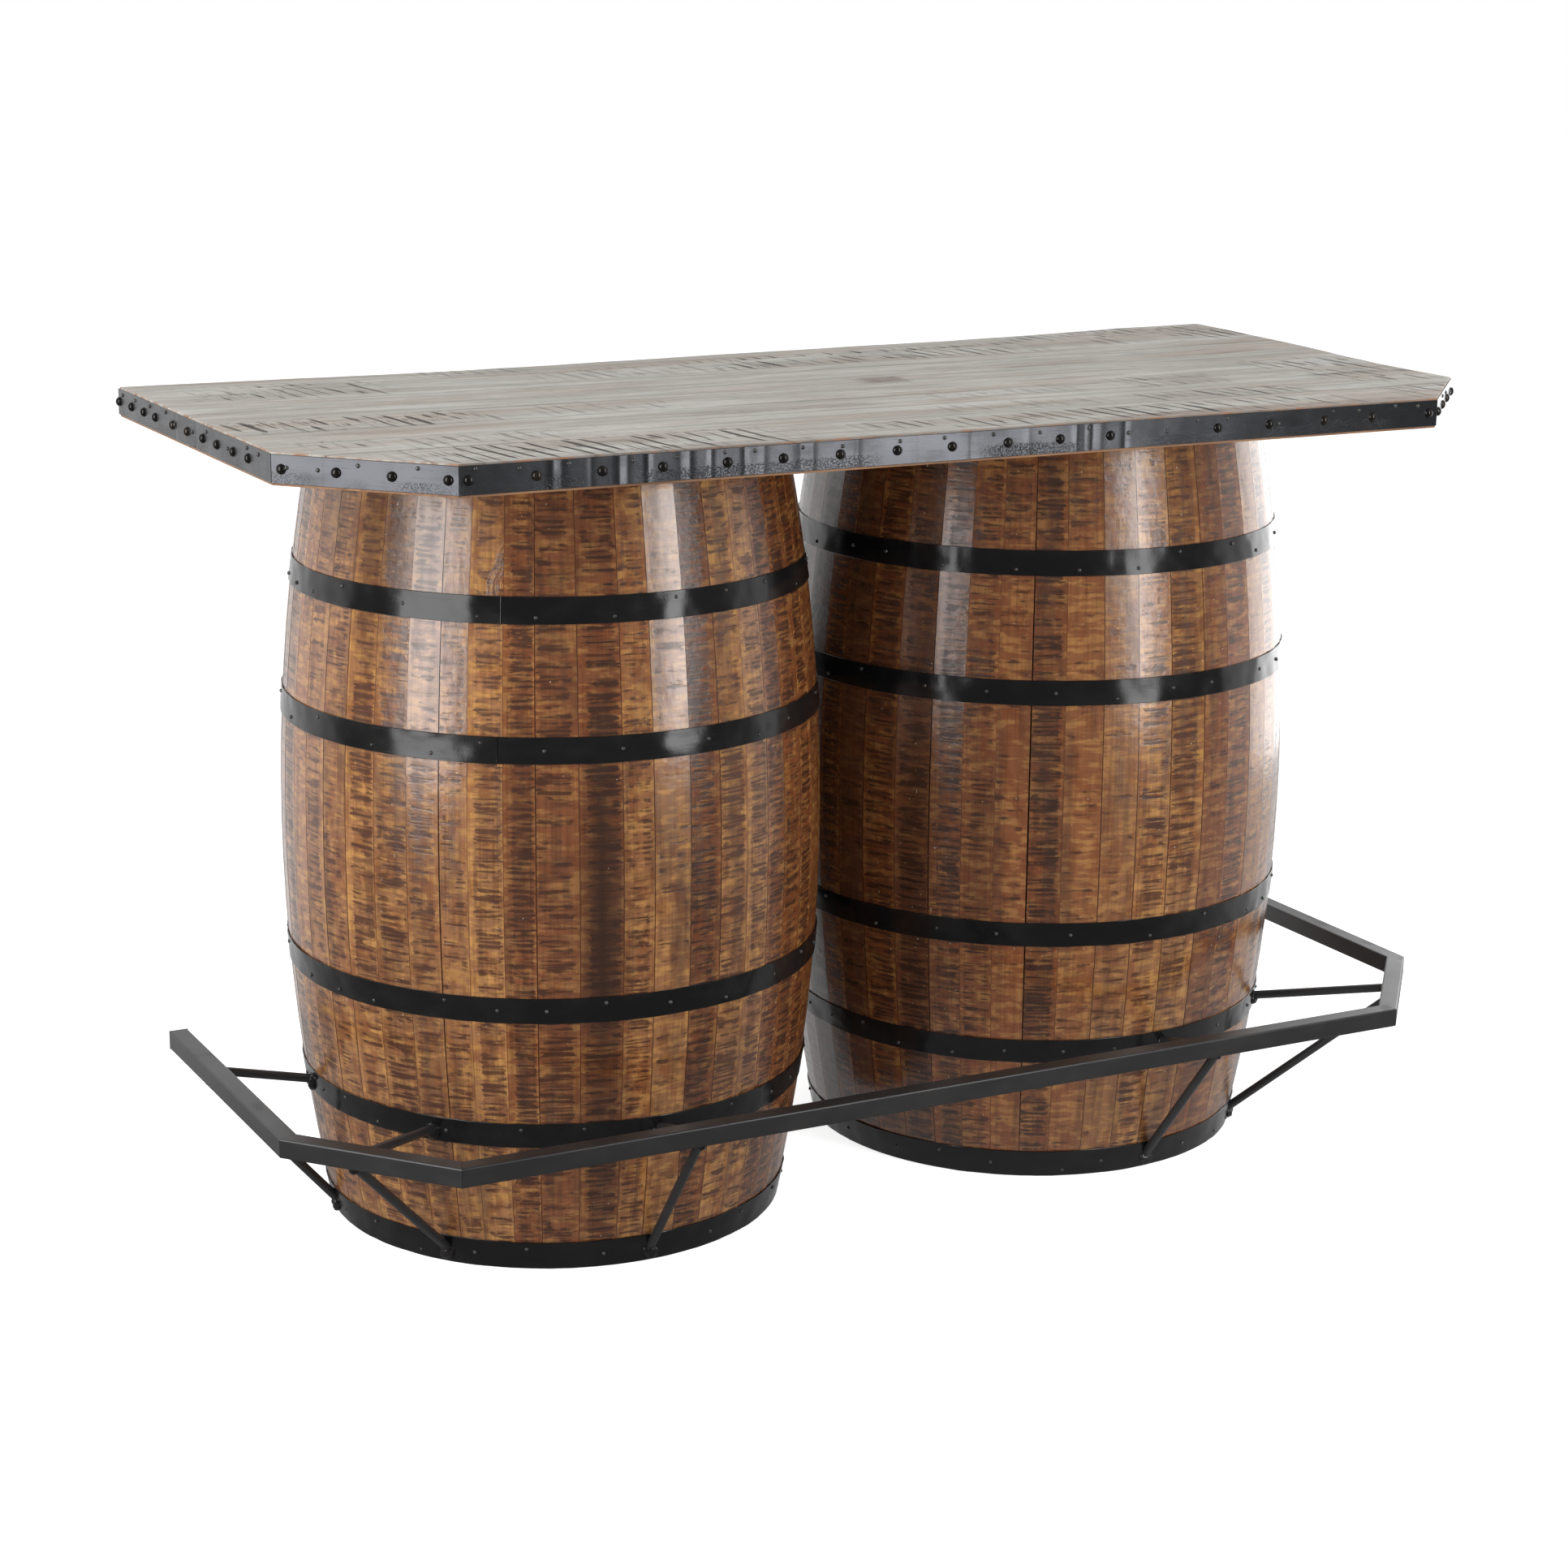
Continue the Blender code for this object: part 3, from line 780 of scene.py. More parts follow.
@dataclass(frozen=True)
class PlankFinish:
    """Limed grey planks with saw strokes across them and raw wood at the rim."""

    limed: Colour = paint(184, 179, 170)
    pale: Colour = paint(210, 206, 199)
    shade: Colour = paint(142, 129, 114)
    blush: Colour = paint(172, 146, 122)
    worn: Colour = paint(96, 62, 40)
    stroke: Colour = paint(44, 31, 25)
    raw: Colour = paint(158, 112, 80)
    gloss: float = 0.22
    least_rough: float = 0.36
    relief_depth: float = 0.0006
    long_strokes_per_metre: float = 44
    short_strokes_per_metre: float = 118
    rim_width: float = 0.0015
    rim_fray: float = 0.012
    rim_fade: float = 0.004

    def make(self) -> bpy.types.Material:
        """Make the material, which reads the numbers stored on the planks.

        Returns:
            The material.
        """
        recipe = Recipe("limed_planks")
        x, y = recipe.x, recipe.y
        seed, across = recipe.stored("seed"), recipe.stored("across")
        marked, worn = recipe.stored("marked"), recipe.stored("worn")
        grain = recipe.noise(x * 3, y * 60, seed * 7, detail=4.0)
        fine = recipe.noise(x * 36, y * 420, seed * 7, detail=2.0)
        cloud = recipe.noise(x * 4, y * 16, seed * 3, detail=3.0)
        bend = recipe.noise(x * 7, y * 9, seed, detail=1.0) * 0.016
        lean = x + y * 0.10 + bend
        level = lean * self.long_strokes_per_metre + seed * 19
        long_strokes = self.strokes(recipe, level, across, seed, 0.22, 1.3)
        level = lean * self.short_strokes_per_metre + seed * 7
        short_strokes = self.strokes(recipe, level, across, seed + 5, 0.34, 0.7)
        nicks = recipe.noise(lean * 300, y * 22, seed * 5, detail=1.0).rise(0.62, 0.72)
        thick_of_it = recipe.noise(x * 9, y * 20, seed * 2, detail=1.0).rise(0.50, 0.62)
        strokes = long_strokes.most(short_strokes * thick_of_it * 0.8) * marked
        strokes = strokes.most(nicks * (marked * 0.45 + 0.15))
        worn = worn * (fine.rise(0.4, 0.6) * 0.5 + 0.5)
        warmth = recipe.noise(x * 2.5, y * 14, seed * 13, detail=3.0).rise(0.46, 0.66)
        colour = recipe.mix(cloud.rise(0.35, 0.65), self.limed, self.pale)
        colour = recipe.mix(warmth * 0.45, colour, self.blush)
        colour = recipe.mix(grain.rise(0.44, 0.66) * 0.5, colour, self.shade)
        colour = recipe.mix(fine.rise(0.5, 0.75) * 0.6, colour, self.shade)
        tint = recipe.noise(x * 6, y * 30, seed + 9, detail=3.0).rise(0.55, 0.75)
        colour = recipe.mix(worn.most(tint * 0.3).most(marked * tint * 0.6), colour, self.worn)
        colour = recipe.mix(strokes * 0.95, colour, self.stroke)
        colour = recipe.mix(abs(across).rise(0.965, 0.995) * 0.5, colour, self.stroke)
        colour = recipe.mix(self.rim(recipe, x, y), colour, self.raw)
        height = 1 - strokes + grain * 0.5
        return recipe.finish(
            {"Metallic": 0.0, "Specular IOR Level": self.gloss},
            Base_Color=colour,
            Roughness=cloud * 0.14 + strokes * 0.2 + self.least_rough,
            Normal=recipe.relief(height, self.relief_depth),
        )

    def strokes(
        self,
        recipe: Recipe,
        level: Number,
        across: Number,
        seed: Number,
        thickest: float,
        longest: float,
    ) -> Number:
        """Dark strokes across a plank that taper towards their ends.

        Args:
            recipe: The finish being made.
            level: Place along the plank, counted in strokes.
            across: Place across the plank, from -1 to 1.
            seed: A number of the plank's own.
            thickest: The widest stroke, as a share of the space between strokes.
            longest: The longest stroke, as a share of the plank's width.

        Returns:
            1 inside a stroke.
        """
        row = math.floor(level) + seed * 91
        thick = (recipe.chance(row) * 0.7 + 0.3) * thickest
        middle = recipe.chance(row + 0.37) * 1.6 - 0.8
        reach = recipe.chance(row + 0.71) * longest + longest * 0.25
        taper = (reach - abs(across - middle)).rise(0, 0.5)
        aside = abs(level.fraction() - 0.5) * 2
        return (thick * taper - aside * 0.5).rise(0, 0.05)

    def rim(self, recipe: Recipe, x: Number, y: Number) -> Number:
        """Where the lime has worn off along the outline of the top.

        Args:
            recipe: The finish being made.
            x: Place along the bar.
            y: Place from its front to its back.

        Returns:
            1 at the rim and 0 inside it.
        """
        top = TableTop()
        corner = top.side("right_corner")
        reach = corner.outward.dot(corner.start.to_3d()) - top.band_thickness - top.seam
        from_sides = (y - top.wood_front).least(top.wood_half_length - abs(x))
        from_corner = reach - abs(x) * corner.outward.x - y * corner.outward.y
        inside = from_sides.least(from_corner).least(top.wood_back - y)
        frayed = recipe.noise(x * 45, y * 45, 2.0, detail=3.0) - 0.5
        return (self.rim_width - inside + frayed * self.rim_fray).rise(0, self.rim_fade)


@dataclass(frozen=True)
class RawWoodFinish:
    """Bare mango wood, as at the edge battens and the barrel heads."""

    name: str
    light: Colour = paint(158, 116, 82)
    dark: Colour = paint(112, 76, 50)
    least_rough: float = 0.5
    relief_depth: float = 0.0004

    def make(self) -> bpy.types.Material:
        """Make the material, with its grain along the bar.

        Returns:
            The material.
        """
        recipe = Recipe(self.name)
        grain = recipe.noise(recipe.x * 6, recipe.y * 120, recipe.z * 120, detail=4.0)
        patch = recipe.noise(recipe.x * 9, recipe.y * 9, recipe.z * 9, detail=2.0)
        share = grain.rise(0.35, 0.7) * 0.6 + patch.rise(0.4, 0.7) * 0.35
        return recipe.finish(
            {"Metallic": 0.0},
            Base_Color=recipe.mix(share, self.light, self.dark),
            Roughness=grain * 0.2 + self.least_rough,
            Normal=recipe.relief(grain, self.relief_depth),
        )


@dataclass(frozen=True)
class IronFinish:
    """Blackened or painted iron with faint scratches, stains and pits."""

    name: str
    metal: Colour
    stain: Colour
    metallic: float
    rough: float
    gloss: float = 0.5
    pitted_below: float | None = None
    stained: float = 0.7
    relief_depth: float = 0.0004

    def make(self) -> bpy.types.Material:
        """Make the material, pitted up to a height where one is given.

        Returns:
            The material.
        """
        recipe = Recipe(self.name)
        x, y, z = recipe.x, recipe.y, recipe.z
        clouds = recipe.noise(x * 16, y * 16, z * 30, detail=4.0)
        specks = recipe.noise(x * 420, y * 420, z * 420, detail=2.0)
        scratches = recipe.noise(x * 22, y * 22, z * 900, detail=1.0).rise(0.62, 0.72)
        share = clouds.rise(0.42, 0.7) * self.stained
        height = clouds * 0.35 + specks * 0.12
        rough = clouds * 0.16 + scratches * 0.08 + (self.rough - 0.08)
        if self.pitted_below is not None:
            patch = recipe.noise(x * 7, y * 7, 3.0, detail=1.0).rise(0.4, 0.6)
            low = (self.pitted_below - z + clouds * 0.01).rise(0, 0.006)
            pits = specks.rise(0.5, 0.62) * low * patch
            height = height - pits
            share = share.most(pits * 0.5)
        return recipe.finish(
            {"Metallic": self.metallic, "Specular IOR Level": self.gloss},
            Base_Color=recipe.mix(share, self.metal, self.stain),
            Roughness=rough,
            Normal=recipe.relief(height, self.relief_depth),
        )


@dataclass(frozen=True)
class Patch:
    """A soft-edged patch on the table top."""

    x: float
    y: float
    half_length: float
    half_width: float
    amount: float
    fades_from: float = 0.8
    fades_to: float = 1.2

    def at(self, spot: Vector) -> float:
        """How strong the patch is at a place.

        Args:
            spot: The place.

        Returns:
            Its amount inside, and less where it fades out.
        """
        along = abs(spot.x - self.x) / self.half_length
        aside = abs(spot.y - self.y) / self.half_width
        share = (self.fades_to - max(along, aside)) / (self.fades_to - self.fades_from)
        return self.amount * min(max(share, 0), 1)


@dataclass(frozen=True)
class Side:
    """One side of the finished top in plan, from corner to corner."""

    name: str
    start: Vector
    end: Vector

    @property
    def length(self) -> float:
        """How long the side is."""
        return (self.end - self.start).length

    @property
    def middle(self) -> Vector:
        """The point halfway along it."""
        return (self.start + self.end) / 2

    @property
    def run(self) -> Vector:
        """Its direction."""
        return (self.end - self.start).normalized()

    @property
    def outward(self) -> Vector:
        """The level direction away from the top."""
        return Vector((self.run.y, -self.run.x, 0))

    @property
    def yaw(self) -> float:
        """Its turn from the bar's own direction."""
        return math.atan2(self.run.y, self.run.x)

    def at(self, along: float) -> Vector:
        """The point at a distance along it from its start."""
        return self.start + self.run * along


@dataclass(frozen=True)
class Head:
    """The low domed head of a nail or a tack."""

    name: str
    size: float
    rise: float
    tilt: float
    segments: int = 14
    rings: int = 8

    def build(self) -> bpy.types.Object:
        """Model the head, which faces the front with its flat back at the origin.

        Returns:
            The head.
        """
        bpy.ops.object.select_all(action="DESELECT")
        bpy.ops.mesh.primitive_uv_sphere_add(
            segments=self.segments,
            ring_count=self.rings,
            radius=self.size / 2,
            rotation=(math.pi / 2, 0, 0),
        )
        head = Bench.take_new(self.name)
        Bench.cut(head, Vector((0, 0, 0)), Vector((0, 1, 0)))
        with Bench.editing(head):
            bpy.ops.mesh.select_all(action="SELECT")
            bpy.ops.transform.resize(
                value=(1, 2 * self.rise / self.size, 1), center_override=(0, 0, 0)
            )
        Bench.smooth(head, degrees=60)
        return head

    def place(self, spot: Vector, yaw: float, dice: random.Random) -> Matrix:
        """A place for the head, a little off its straight stand.

        Args:
            spot: Where its back is.
            yaw: The turn of the face that it sits on.
            dice: Where its tilt comes from.

        Returns:
            The place.
        """
        pitch = Matrix.Rotation(dice.uniform(-self.tilt, self.tilt), 4, "X")
        swing = Matrix.Rotation(yaw + dice.uniform(-self.tilt, self.tilt), 4, "Z")
        return Matrix.Translation(spot) @ swing @ pitch

    def repeat(
        self, name: str, spots: Sequence[tuple[Vector, float]], seed: int
    ) -> bpy.types.Object:
        """One piece of many heads, each tilted a little in its own way.

        Args:
            name: The piece's name.
            spots: Where their backs are, each with the turn of its side.
            seed: Where their tilts come from.

        Returns:
            The piece.
        """
        dice = random.Random(seed)
        places = [self.place(spot, yaw, dice) for spot, yaw in spots]
        return Bench.repeat(name, self.build(), places)


@dataclass
class TableTop:
    """The plank top: boards, battens under its edge, nailed iron band and a slight warp."""

    height: float = 1.070
    board_thickness: float = 0.020
    wood_front: float = -0.4103
    wood_back: float = 0.3711
    wood_half_length: float = 0.8382
    seam: float = 0.0004
    batten_heights: tuple[float, float] = (1.0317, 1.0497)
    batten_width: float = 0.045
    band_heights: tuple[float, float] = (1.0345, 1.068)
    band_thickness: float = 0.0015
    corner_front: tuple[float, float] = (0.680, -0.4121)
    corner_side: tuple[float, float] = (0.840, -0.2401)
    back_y: float = 0.3729
    nail: Head = Head("nail_dome", size=0.0125, rise=0.0050, tilt=0.09)
    nail_height: float = 1.0515
    nail_margin: float = 0.013
    back_nails: int = 22
    corner_nails: int = 4
    tack: Head = Head("tack_dome", size=0.0054, rise=0.0022, tilt=0.12)
    tack_heights: tuple[float, ...] = (1.0625, 1.0625, 1.0625, 1.0525)
    tack_stray: float = 0.0015
    tack_spacing: tuple[float, float] = (0.032, 0.085)
    tack_margins: tuple[float, float] = (0.020, 0.015)
    board_cell: float = 0.012
    board_waves: tuple[float, float] = (0.09, 0.0011)
    board_ease: float = 0.0012
    batten_ease: float = 0.0010
    band_cell: float = 0.002
    band_rows: int = 8
    band_spare: float = 0.004
    band_dents: tuple[float, float] = (0.050, 0.0005)
    band_ease: float = 0.0004
    crease_core: float = 0.0015
    crease_depths: tuple[float, float] = (0.0002, 0.0006)
    crease_reaches: tuple[float, float] = (0.006, 0.012)
    creases_per_metre: float = 4
    cage_margin: float = 0.02
    cage_height: float = 0.12
    cage_points: tuple[int, int] = (13, 2)
    first_band_seed: int = 40
    nail_seed: int = 3
    tack_seed: int = 5
    tack_place_seed: int = 7

    side_names = ("front", "right_corner", "right_end", "back", "left_end", "left_corner")
    board_ends = (0, 0.155, 0.276, 0.391, 0.525, 0.627, 0.733, 0.908, 1)
    strokes = (
        Patch(-0.47, -0.345, 0.23, 0.060, 1.0),
        Patch(0.02, -0.355, 0.15, 0.045, 0.8),
        Patch(0.36, -0.355, 0.20, 0.045, 1.0),
        Patch(0.73, -0.340, 0.06, 0.050, 0.8),
        Patch(-0.75, -0.215, 0.04, 0.025, 0.9),
        Patch(-0.58, -0.235, 0.09, 0.035, 0.6),
        Patch(0.15, -0.240, 0.12, 0.030, 0.45),
        Patch(0.45, -0.250, 0.12, 0.035, 0.85),
        Patch(0.76, -0.215, 0.06, 0.030, 0.7),
        Patch(-0.67, -0.055, 0.17, 0.050, 1.0),
        Patch(-0.34, -0.050, 0.09, 0.040, 0.5),
        Patch(0.18, -0.120, 0.12, 0.040, 0.35),
        Patch(0.46, -0.120, 0.08, 0.045, 0.65),
        Patch(0.76, -0.090, 0.10, 0.090, 0.8),
        Patch(-0.65, 0.250, 0.12, 0.065, 0.9),
        Patch(-0.16, 0.260, 0.14, 0.050, 0.5),
        Patch(0.20, 0.265, 0.26, 0.055, 0.95),
        Patch(0.60, 0.270, 0.07, 0.050, 0.5),
        Patch(0.79, 0.290, 0.07, 0.070, 0.9),
        Patch(-0.36, 0.345, 0.08, 0.030, 0.6),
        Patch(0.62, 0.350, 0.14, 0.030, 0.7),
    )
    worn_spots = (
        Patch(0.105, 0.036, 0.032, 0.026, 1.0),
        Patch(-0.15, -0.155, 0.13, 0.020, 0.42),
        Patch(0.49, -0.125, 0.05, 0.040, 0.30),
        Patch(-0.60, 0.265, 0.05, 0.050, 0.30),
        Patch(0.22, 0.285, 0.05, 0.040, 0.25),
        Patch(0.37, 0.078, 0.04, 0.003, 0.80),
        Patch(-0.45, -0.395, 0.30, 0.018, 0.35),
        Patch(0.45, -0.395, 0.26, 0.014, 0.55),
        Patch(0.62, 0.125, 0.07, 0.020, 0.20),
        Patch(-0.58, 0.105, 0.12, 0.015, 0.18),
    )
    front_nails = (
        *(-0.668, -0.586, -0.505, -0.429, -0.3465, -0.274, -0.1985, -0.122, -0.0465),
        *(0.0315, 0.1055, 0.178, 0.337, 0.416, 0.501, 0.5765, 0.6665),
    )
    end_nails = (0.367, 0.313, 0.259, 0.209, 0.1355, 0.076, 0.014, -0.0406, -0.102, -0.158)
    front_creases = (
        *(-0.567, -0.556, -0.520, -0.484, -0.474, -0.448, -0.407, -0.395, -0.368, -0.325, -0.300),
        *(-0.252, -0.236, -0.176, -0.098, -0.020, 0.060, 0.128, 0.140, 0.152, 0.163, 0.200),
    )
    warp_x = (-0.84, -0.68, -0.52, -0.36, -0.2, -0.04, 0.12, 0.28, 0.44, 0.6, 0.76, 0.84)
    warp_back = (
        *(0.0008, 0.0, -0.0014, -0.0019, -0.0009, 0.0006),
        *(0.0023, 0.003, 0.0034, 0.0066, 0.0102, 0.0099),
    )
    warp_y = (-0.44, -0.24, -0.04, 0.06, 0.16, 0.28, 0.40)
    warp_shares = (0.0, -0.03, 0.0, 0.45, 0.62, 0.86, 1.0)

    def all_sides(self) -> list[Side]:
        """The sides of the finished top, anticlockwise from its front.

        Returns:
            The sides, each of which ends where the next one starts.
        """
        right = [self.corner_front, self.corner_side, (self.corner_side[0], self.back_y)]
        left = [(-x, y) for x, y in reversed(right)]
        starts = [Vector(spot) for spot in (left[2], *right, left[0], left[1])]
        ends = [*starts[1:], starts[0]]
        return [Side(name, *spots) for name, *spots in zip(self.side_names, starts, ends)]

    def side(self, name: str) -> Side:
        """One side of the finished top, by its name."""
        return self.all_sides()[self.side_names.index(name)]

    def trim_corners(self, piece: bpy.types.Object) -> None:
        """Cut a piece off at both front corners of the wood.

        Args:
            piece: The piece to cut.
        """
        corner = self.side("right_corner")
        spot = corner.start.to_3d() - corner.outward * (self.band_thickness + self.seam)
        for flip in (Vector((1, 1, 1)), Vector((-1, 1, 1))):
            Bench.cut(piece, spot * flip, corner.outward * flip)

    def build_board(self, number: int) -> bpy.types.Object:
        """One plank, eased at its edges and slightly uneven.

        Args:
            number: Its number from the front.

        Returns:
            The plank.
        """
        depth = self.wood_back - self.wood_front
        front = self.wood_front + depth * self.board_ends[number - 1] + self.seam / 2
        back = self.wood_front + depth * self.board_ends[number] - self.seam / 2
        width, length = back - front, 2 * self.wood_half_length
        middle = Vector((0, (front + back) / 2, self.height))
        cells = (round(length / self.board_cell), max(4, round(width / self.board_cell)))
        board = Bench.sheet(f"plank_{number}", middle, (0, 0, 0), (length, width), cells)
        Bench.dent(board, *self.board_waves)
        Bench.modify(board, "SOLIDIFY", thickness=self.board_thickness, offset=-1)
        if front < self.corner_side[1]:
            self.trim_corners(board)
        Bench.ease(board, self.board_ease, segments=2)
        Bench.smooth(board)
        seed = random.Random(number).random()
        Bench.mark(board, "seed", lambda spot: seed)
        Bench.mark(board, "across", lambda spot: (spot.y - middle.y) / (width / 2))
        Bench.mark(board, "marked", lambda spot: max(patch.at(spot) for patch in self.strokes))
        Bench.mark(board, "worn", lambda spot: max(patch.at(spot) for patch in self.worn_spots))
        return board

    def build_sheet(
        self, name: str, side: Side, heights: tuple[float, float], inset: float
    ) -> bpy.types.Object:
        """An upright sheet along one side of the top, a little longer than the side.

        Args:
            name: The sheet's name.
            side: The side.
            heights: Its lower and upper edge.
            inset: How far inside the side it stands.

        Returns:
            The sheet, which faces outwards.
        """
        low, high = heights
        middle = side.middle.to_3d() - side.outward * inset + Vector((0, 0, (low + high) / 2))
        turn = (math.pi / 2, 0, side.yaw)
        cells = (round(side.length / self.band_cell), self.band_rows)
        return Bench.sheet(name, middle, turn, (side.length + self.band_spare, high - low), cells)

    def mitre(self, bar: bpy.types.Object, side: Side) -> None:
        """Cut a bar at the mitres of its two corners.

        Args:
            bar: The bar, which runs past both.
            side: The side that it stands on.
        """
        sides = self.all_sides()
        number = self.side_names.index(side.name)
        before, after = sides[number - 1], sides[(number + 1) % len(sides)]
        gap = side.run * self.seam / 2
        Bench.cut(bar, (side.start + gap).to_3d(), -(before.run + side.run).to_3d())
        Bench.cut(bar, (side.end - gap).to_3d(), (side.run + after.run).to_3d())

    def build_band(self, side: Side) -> bpy.types.Object:
        """One length of the iron band, dented and folded as thin iron is, with mitred ends.

        Args:
            side: Its side.

        Returns:
            The band.
        """
        band = self.build_sheet(f"band_{side.name}", side, self.band_heights, 0)
        dice = random.Random(self.side_names.index(side.name) + self.first_band_seed)
        run = side.run
        with Bench.editing(band):
            for place in self.crease_places(side, dice):
                Bench.select(
                    band,
                    Element.POINTS,
                    lambda spot, at=place: abs((spot.xy - at).dot(run)) < self.crease_core,
                )
                bpy.ops.transform.translate(
                    value=side.outward * dice.choice((-1, 1)) * dice.uniform(*self.crease_depths),
                    use_proportional_edit=True,
                    proportional_edit_falloff="SHARP",
                    proportional_size=dice.uniform(*self.crease_reaches),
                )
        Bench.dent(band, *self.band_dents)
        Bench.modify(band, "SOLIDIFY", thickness=self.band_thickness, offset=-1)
        self.mitre(band, side)
        Bench.ease(band, self.band_ease, segments=1)
        Bench.smooth(band)
        return band

    def crease_places(self, side: Side, dice: random.Random) -> list[Vector]:
        """Where the band is creased along one side.

        Args:
            side: The side.
            dice: Where the places come from on a side that the photo doesn't show well.

        Returns:
            The places in plan.
        """
        if side.name == "front":
            return [Vector((x, side.start.y)) for x in self.front_creases]
        half, count = side.length / 2, round(side.length * self.creases_per_metre)
        return [side.middle + side.run * dice.uniform(-half, half) for _ in range(count)]

    def build_batten(self, name: str, side: Side) -> bpy.types.Object:
        """One batten of the rim under the boards.

        Args:
            name: The batten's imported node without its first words.
            side: Its side.

        Returns:
            The batten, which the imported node's box bounds along the back.
        """
        inset = self.band_thickness + self.seam
        batten = self.build_sheet(f"batten_{name}", side, self.batten_heights, inset)
        Bench.modify(batten, "SOLIDIFY", thickness=self.batten_width, offset=-1)
        self.mitre(batten, side)
        if name.startswith("back"):
            low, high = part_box(f"edge_batten_{name}")
            if name != "back_left":
                Bench.cut(batten, low, Vector((-1, 0, 0)))
            if name != "back_right":
                Bench.cut(batten, high, Vector((1, 0, 0)))
        Bench.ease(batten, self.batten_ease, segments=2)
        Bench.smooth(batten)
        return batten

    def nail_places(self) -> list[tuple[Vector, float]]:
        """Where the domed nails sit.

        Returns:
            The places, each with the turn of its side.
        """
        places = []
        for side in self.all_sides():
            if side.name == "front":
                spots = [Vector((x, side.start.y)) for x in self.front_nails]
            elif side.name.endswith("_end"):
                spots = [Vector((side.start.x, y)) for y in self.end_nails]
            else:
                count = self.back_nails if side.name == "back" else self.corner_nails
                step = (side.length - 2 * self.nail_margin) / (count - 1)
                spots = [side.at(self.nail_margin + step * k) for k in range(count)]
            places += [(Vector((*spot, self.nail_height)), side.yaw) for spot in spots]
        return places

    def tack_places(self) -> list[tuple[Vector, float]]:
        """Where the small tacks sit, most of them along the band's upper part.

        Returns:
            The places, each with the turn of its side.
        """
        dice = random.Random(self.tack_place_seed)
        places = []
        first, last = self.tack_margins
        for side in self.all_sides():
            along = first
            while along < side.length - last:
                stray = self.tack_stray
                height = dice.choice(self.tack_heights) + dice.uniform(-stray, stray)
                places.append((Vector((*side.at(along), height)), side.yaw))
                along += dice.uniform(*self.tack_spacing)
        return places

    def build_cage(self) -> bpy.types.Object:
        """The lattice that holds the warp: the boards have lifted at the back right corner.

        Returns:
            The lattice, which is no piece of the table.
        """
        bpy.ops.object.select_all(action="DESELECT")
        bpy.ops.object.add(type="LATTICE", location=(0, 0, self.height))
        cage = bpy.context.object
        cage.name = "warp_cage"
        bars = cage.data
        bars.points_u = len(self.warp_x)
        bars.points_v, bars.points_w = self.cage_points
        bars.interpolation_type_u = bars.interpolation_type_v = "KEY_LINEAR"
        length = 2 * (self.warp_x[-1] + self.cage_margin)
        low, high = self.warp_y[0], self.warp_y[-1]
        cage.scale = (length, high - low, self.cage_height)
        cage.location.y = (low + high) / 2
        for point in bars.points:
            x, y = point.co.x * length, cage.location.y + point.co.y * (high - low)
            lift = between(x, self.warp_x, self.warp_back) * between(y, self.warp_y, self.warp_shares)
            point.co_deform = point.co + Vector((0, 0, lift / cage.scale.z))
        return cage

    def build(self, finishes: Finishes) -> None:
        """Model, warp, dress and hand over every piece of the top.

        Args:
            finishes: The materials.
        """
        numbers = range(1, len(self.board_ends))
        boards = {f"top_board_{number}": self.build_board(number) for number in numbers}
        bands = {f"edge_band_{side.name}": self.build_band(side) for side in self.all_sides()}
        rims = {side.name: side for side in self.all_sides() if side.name != "back"}
        rims |= {f"back_{part}": self.side("back") for part in ("left", "middle", "right")}
        battens = {f"edge_batten_{name}": self.build_batten(name, side) for name, side in rims.items()}
        nails = self.nail.repeat("edge_nails", self.nail_places(), self.nail_seed)
        tacks = self.tack.repeat("edge_tacks", self.tack_places(), self.tack_seed)
        cage = self.build_cage()
        for piece in (*boards.values(), *bands.values(), *battens.values(), nails, tacks):
            Bench.modify(piece, "LATTICE", object=cage)
        bpy.data.objects.remove(cage)
        for pieces, finish, slot in (
            (boards, finishes.planks, "top_wood"),
            (bands, finishes.band, "band_iron"),
            (battens, finishes.raw_edge, "edge_wood"),
        ):
            for node, piece in pieces.items():
                hand_over(piece, finish, slot, node)
        hand_over(nails, finishes.nails, "band_iron")
        hand_over(tacks, finishes.tacks, "band_iron")


def between(value: float, places: Sequence[float], heights: Sequence[float]) -> float:
    """The height at a value on a line of straight runs.

    Args:
        value: Where it is wanted.
        places: The ends of the runs, rising.
        heights: The height at each.

    Returns:
        The height, held level beyond both ends.
    """
    value = min(max(value, places[0]), places[-1])
    run = min(max(bisect.bisect_right(places, value) - 1, 0), len(places) - 2)
    share = (value - places[run]) / (places[run + 1] - places[run])
    return heights[run] + share * (heights[run + 1] - heights[run])


@dataclass(frozen=True)
class Stave:
    """One stave: its width in degrees of the barrel and how its wood looks."""

    width: float
    tone: StaveTone
    marks: StaveMarks


@dataclass(frozen=True)
class SmearAndShade:
    """A dark patch on a barrel, by its bearing in degrees and height: painted shade under the top and
    between the barrels, and smears in the wood.
    """

    bearing: float
    height: float
    half_width: float
    half_height: float
    amount: float


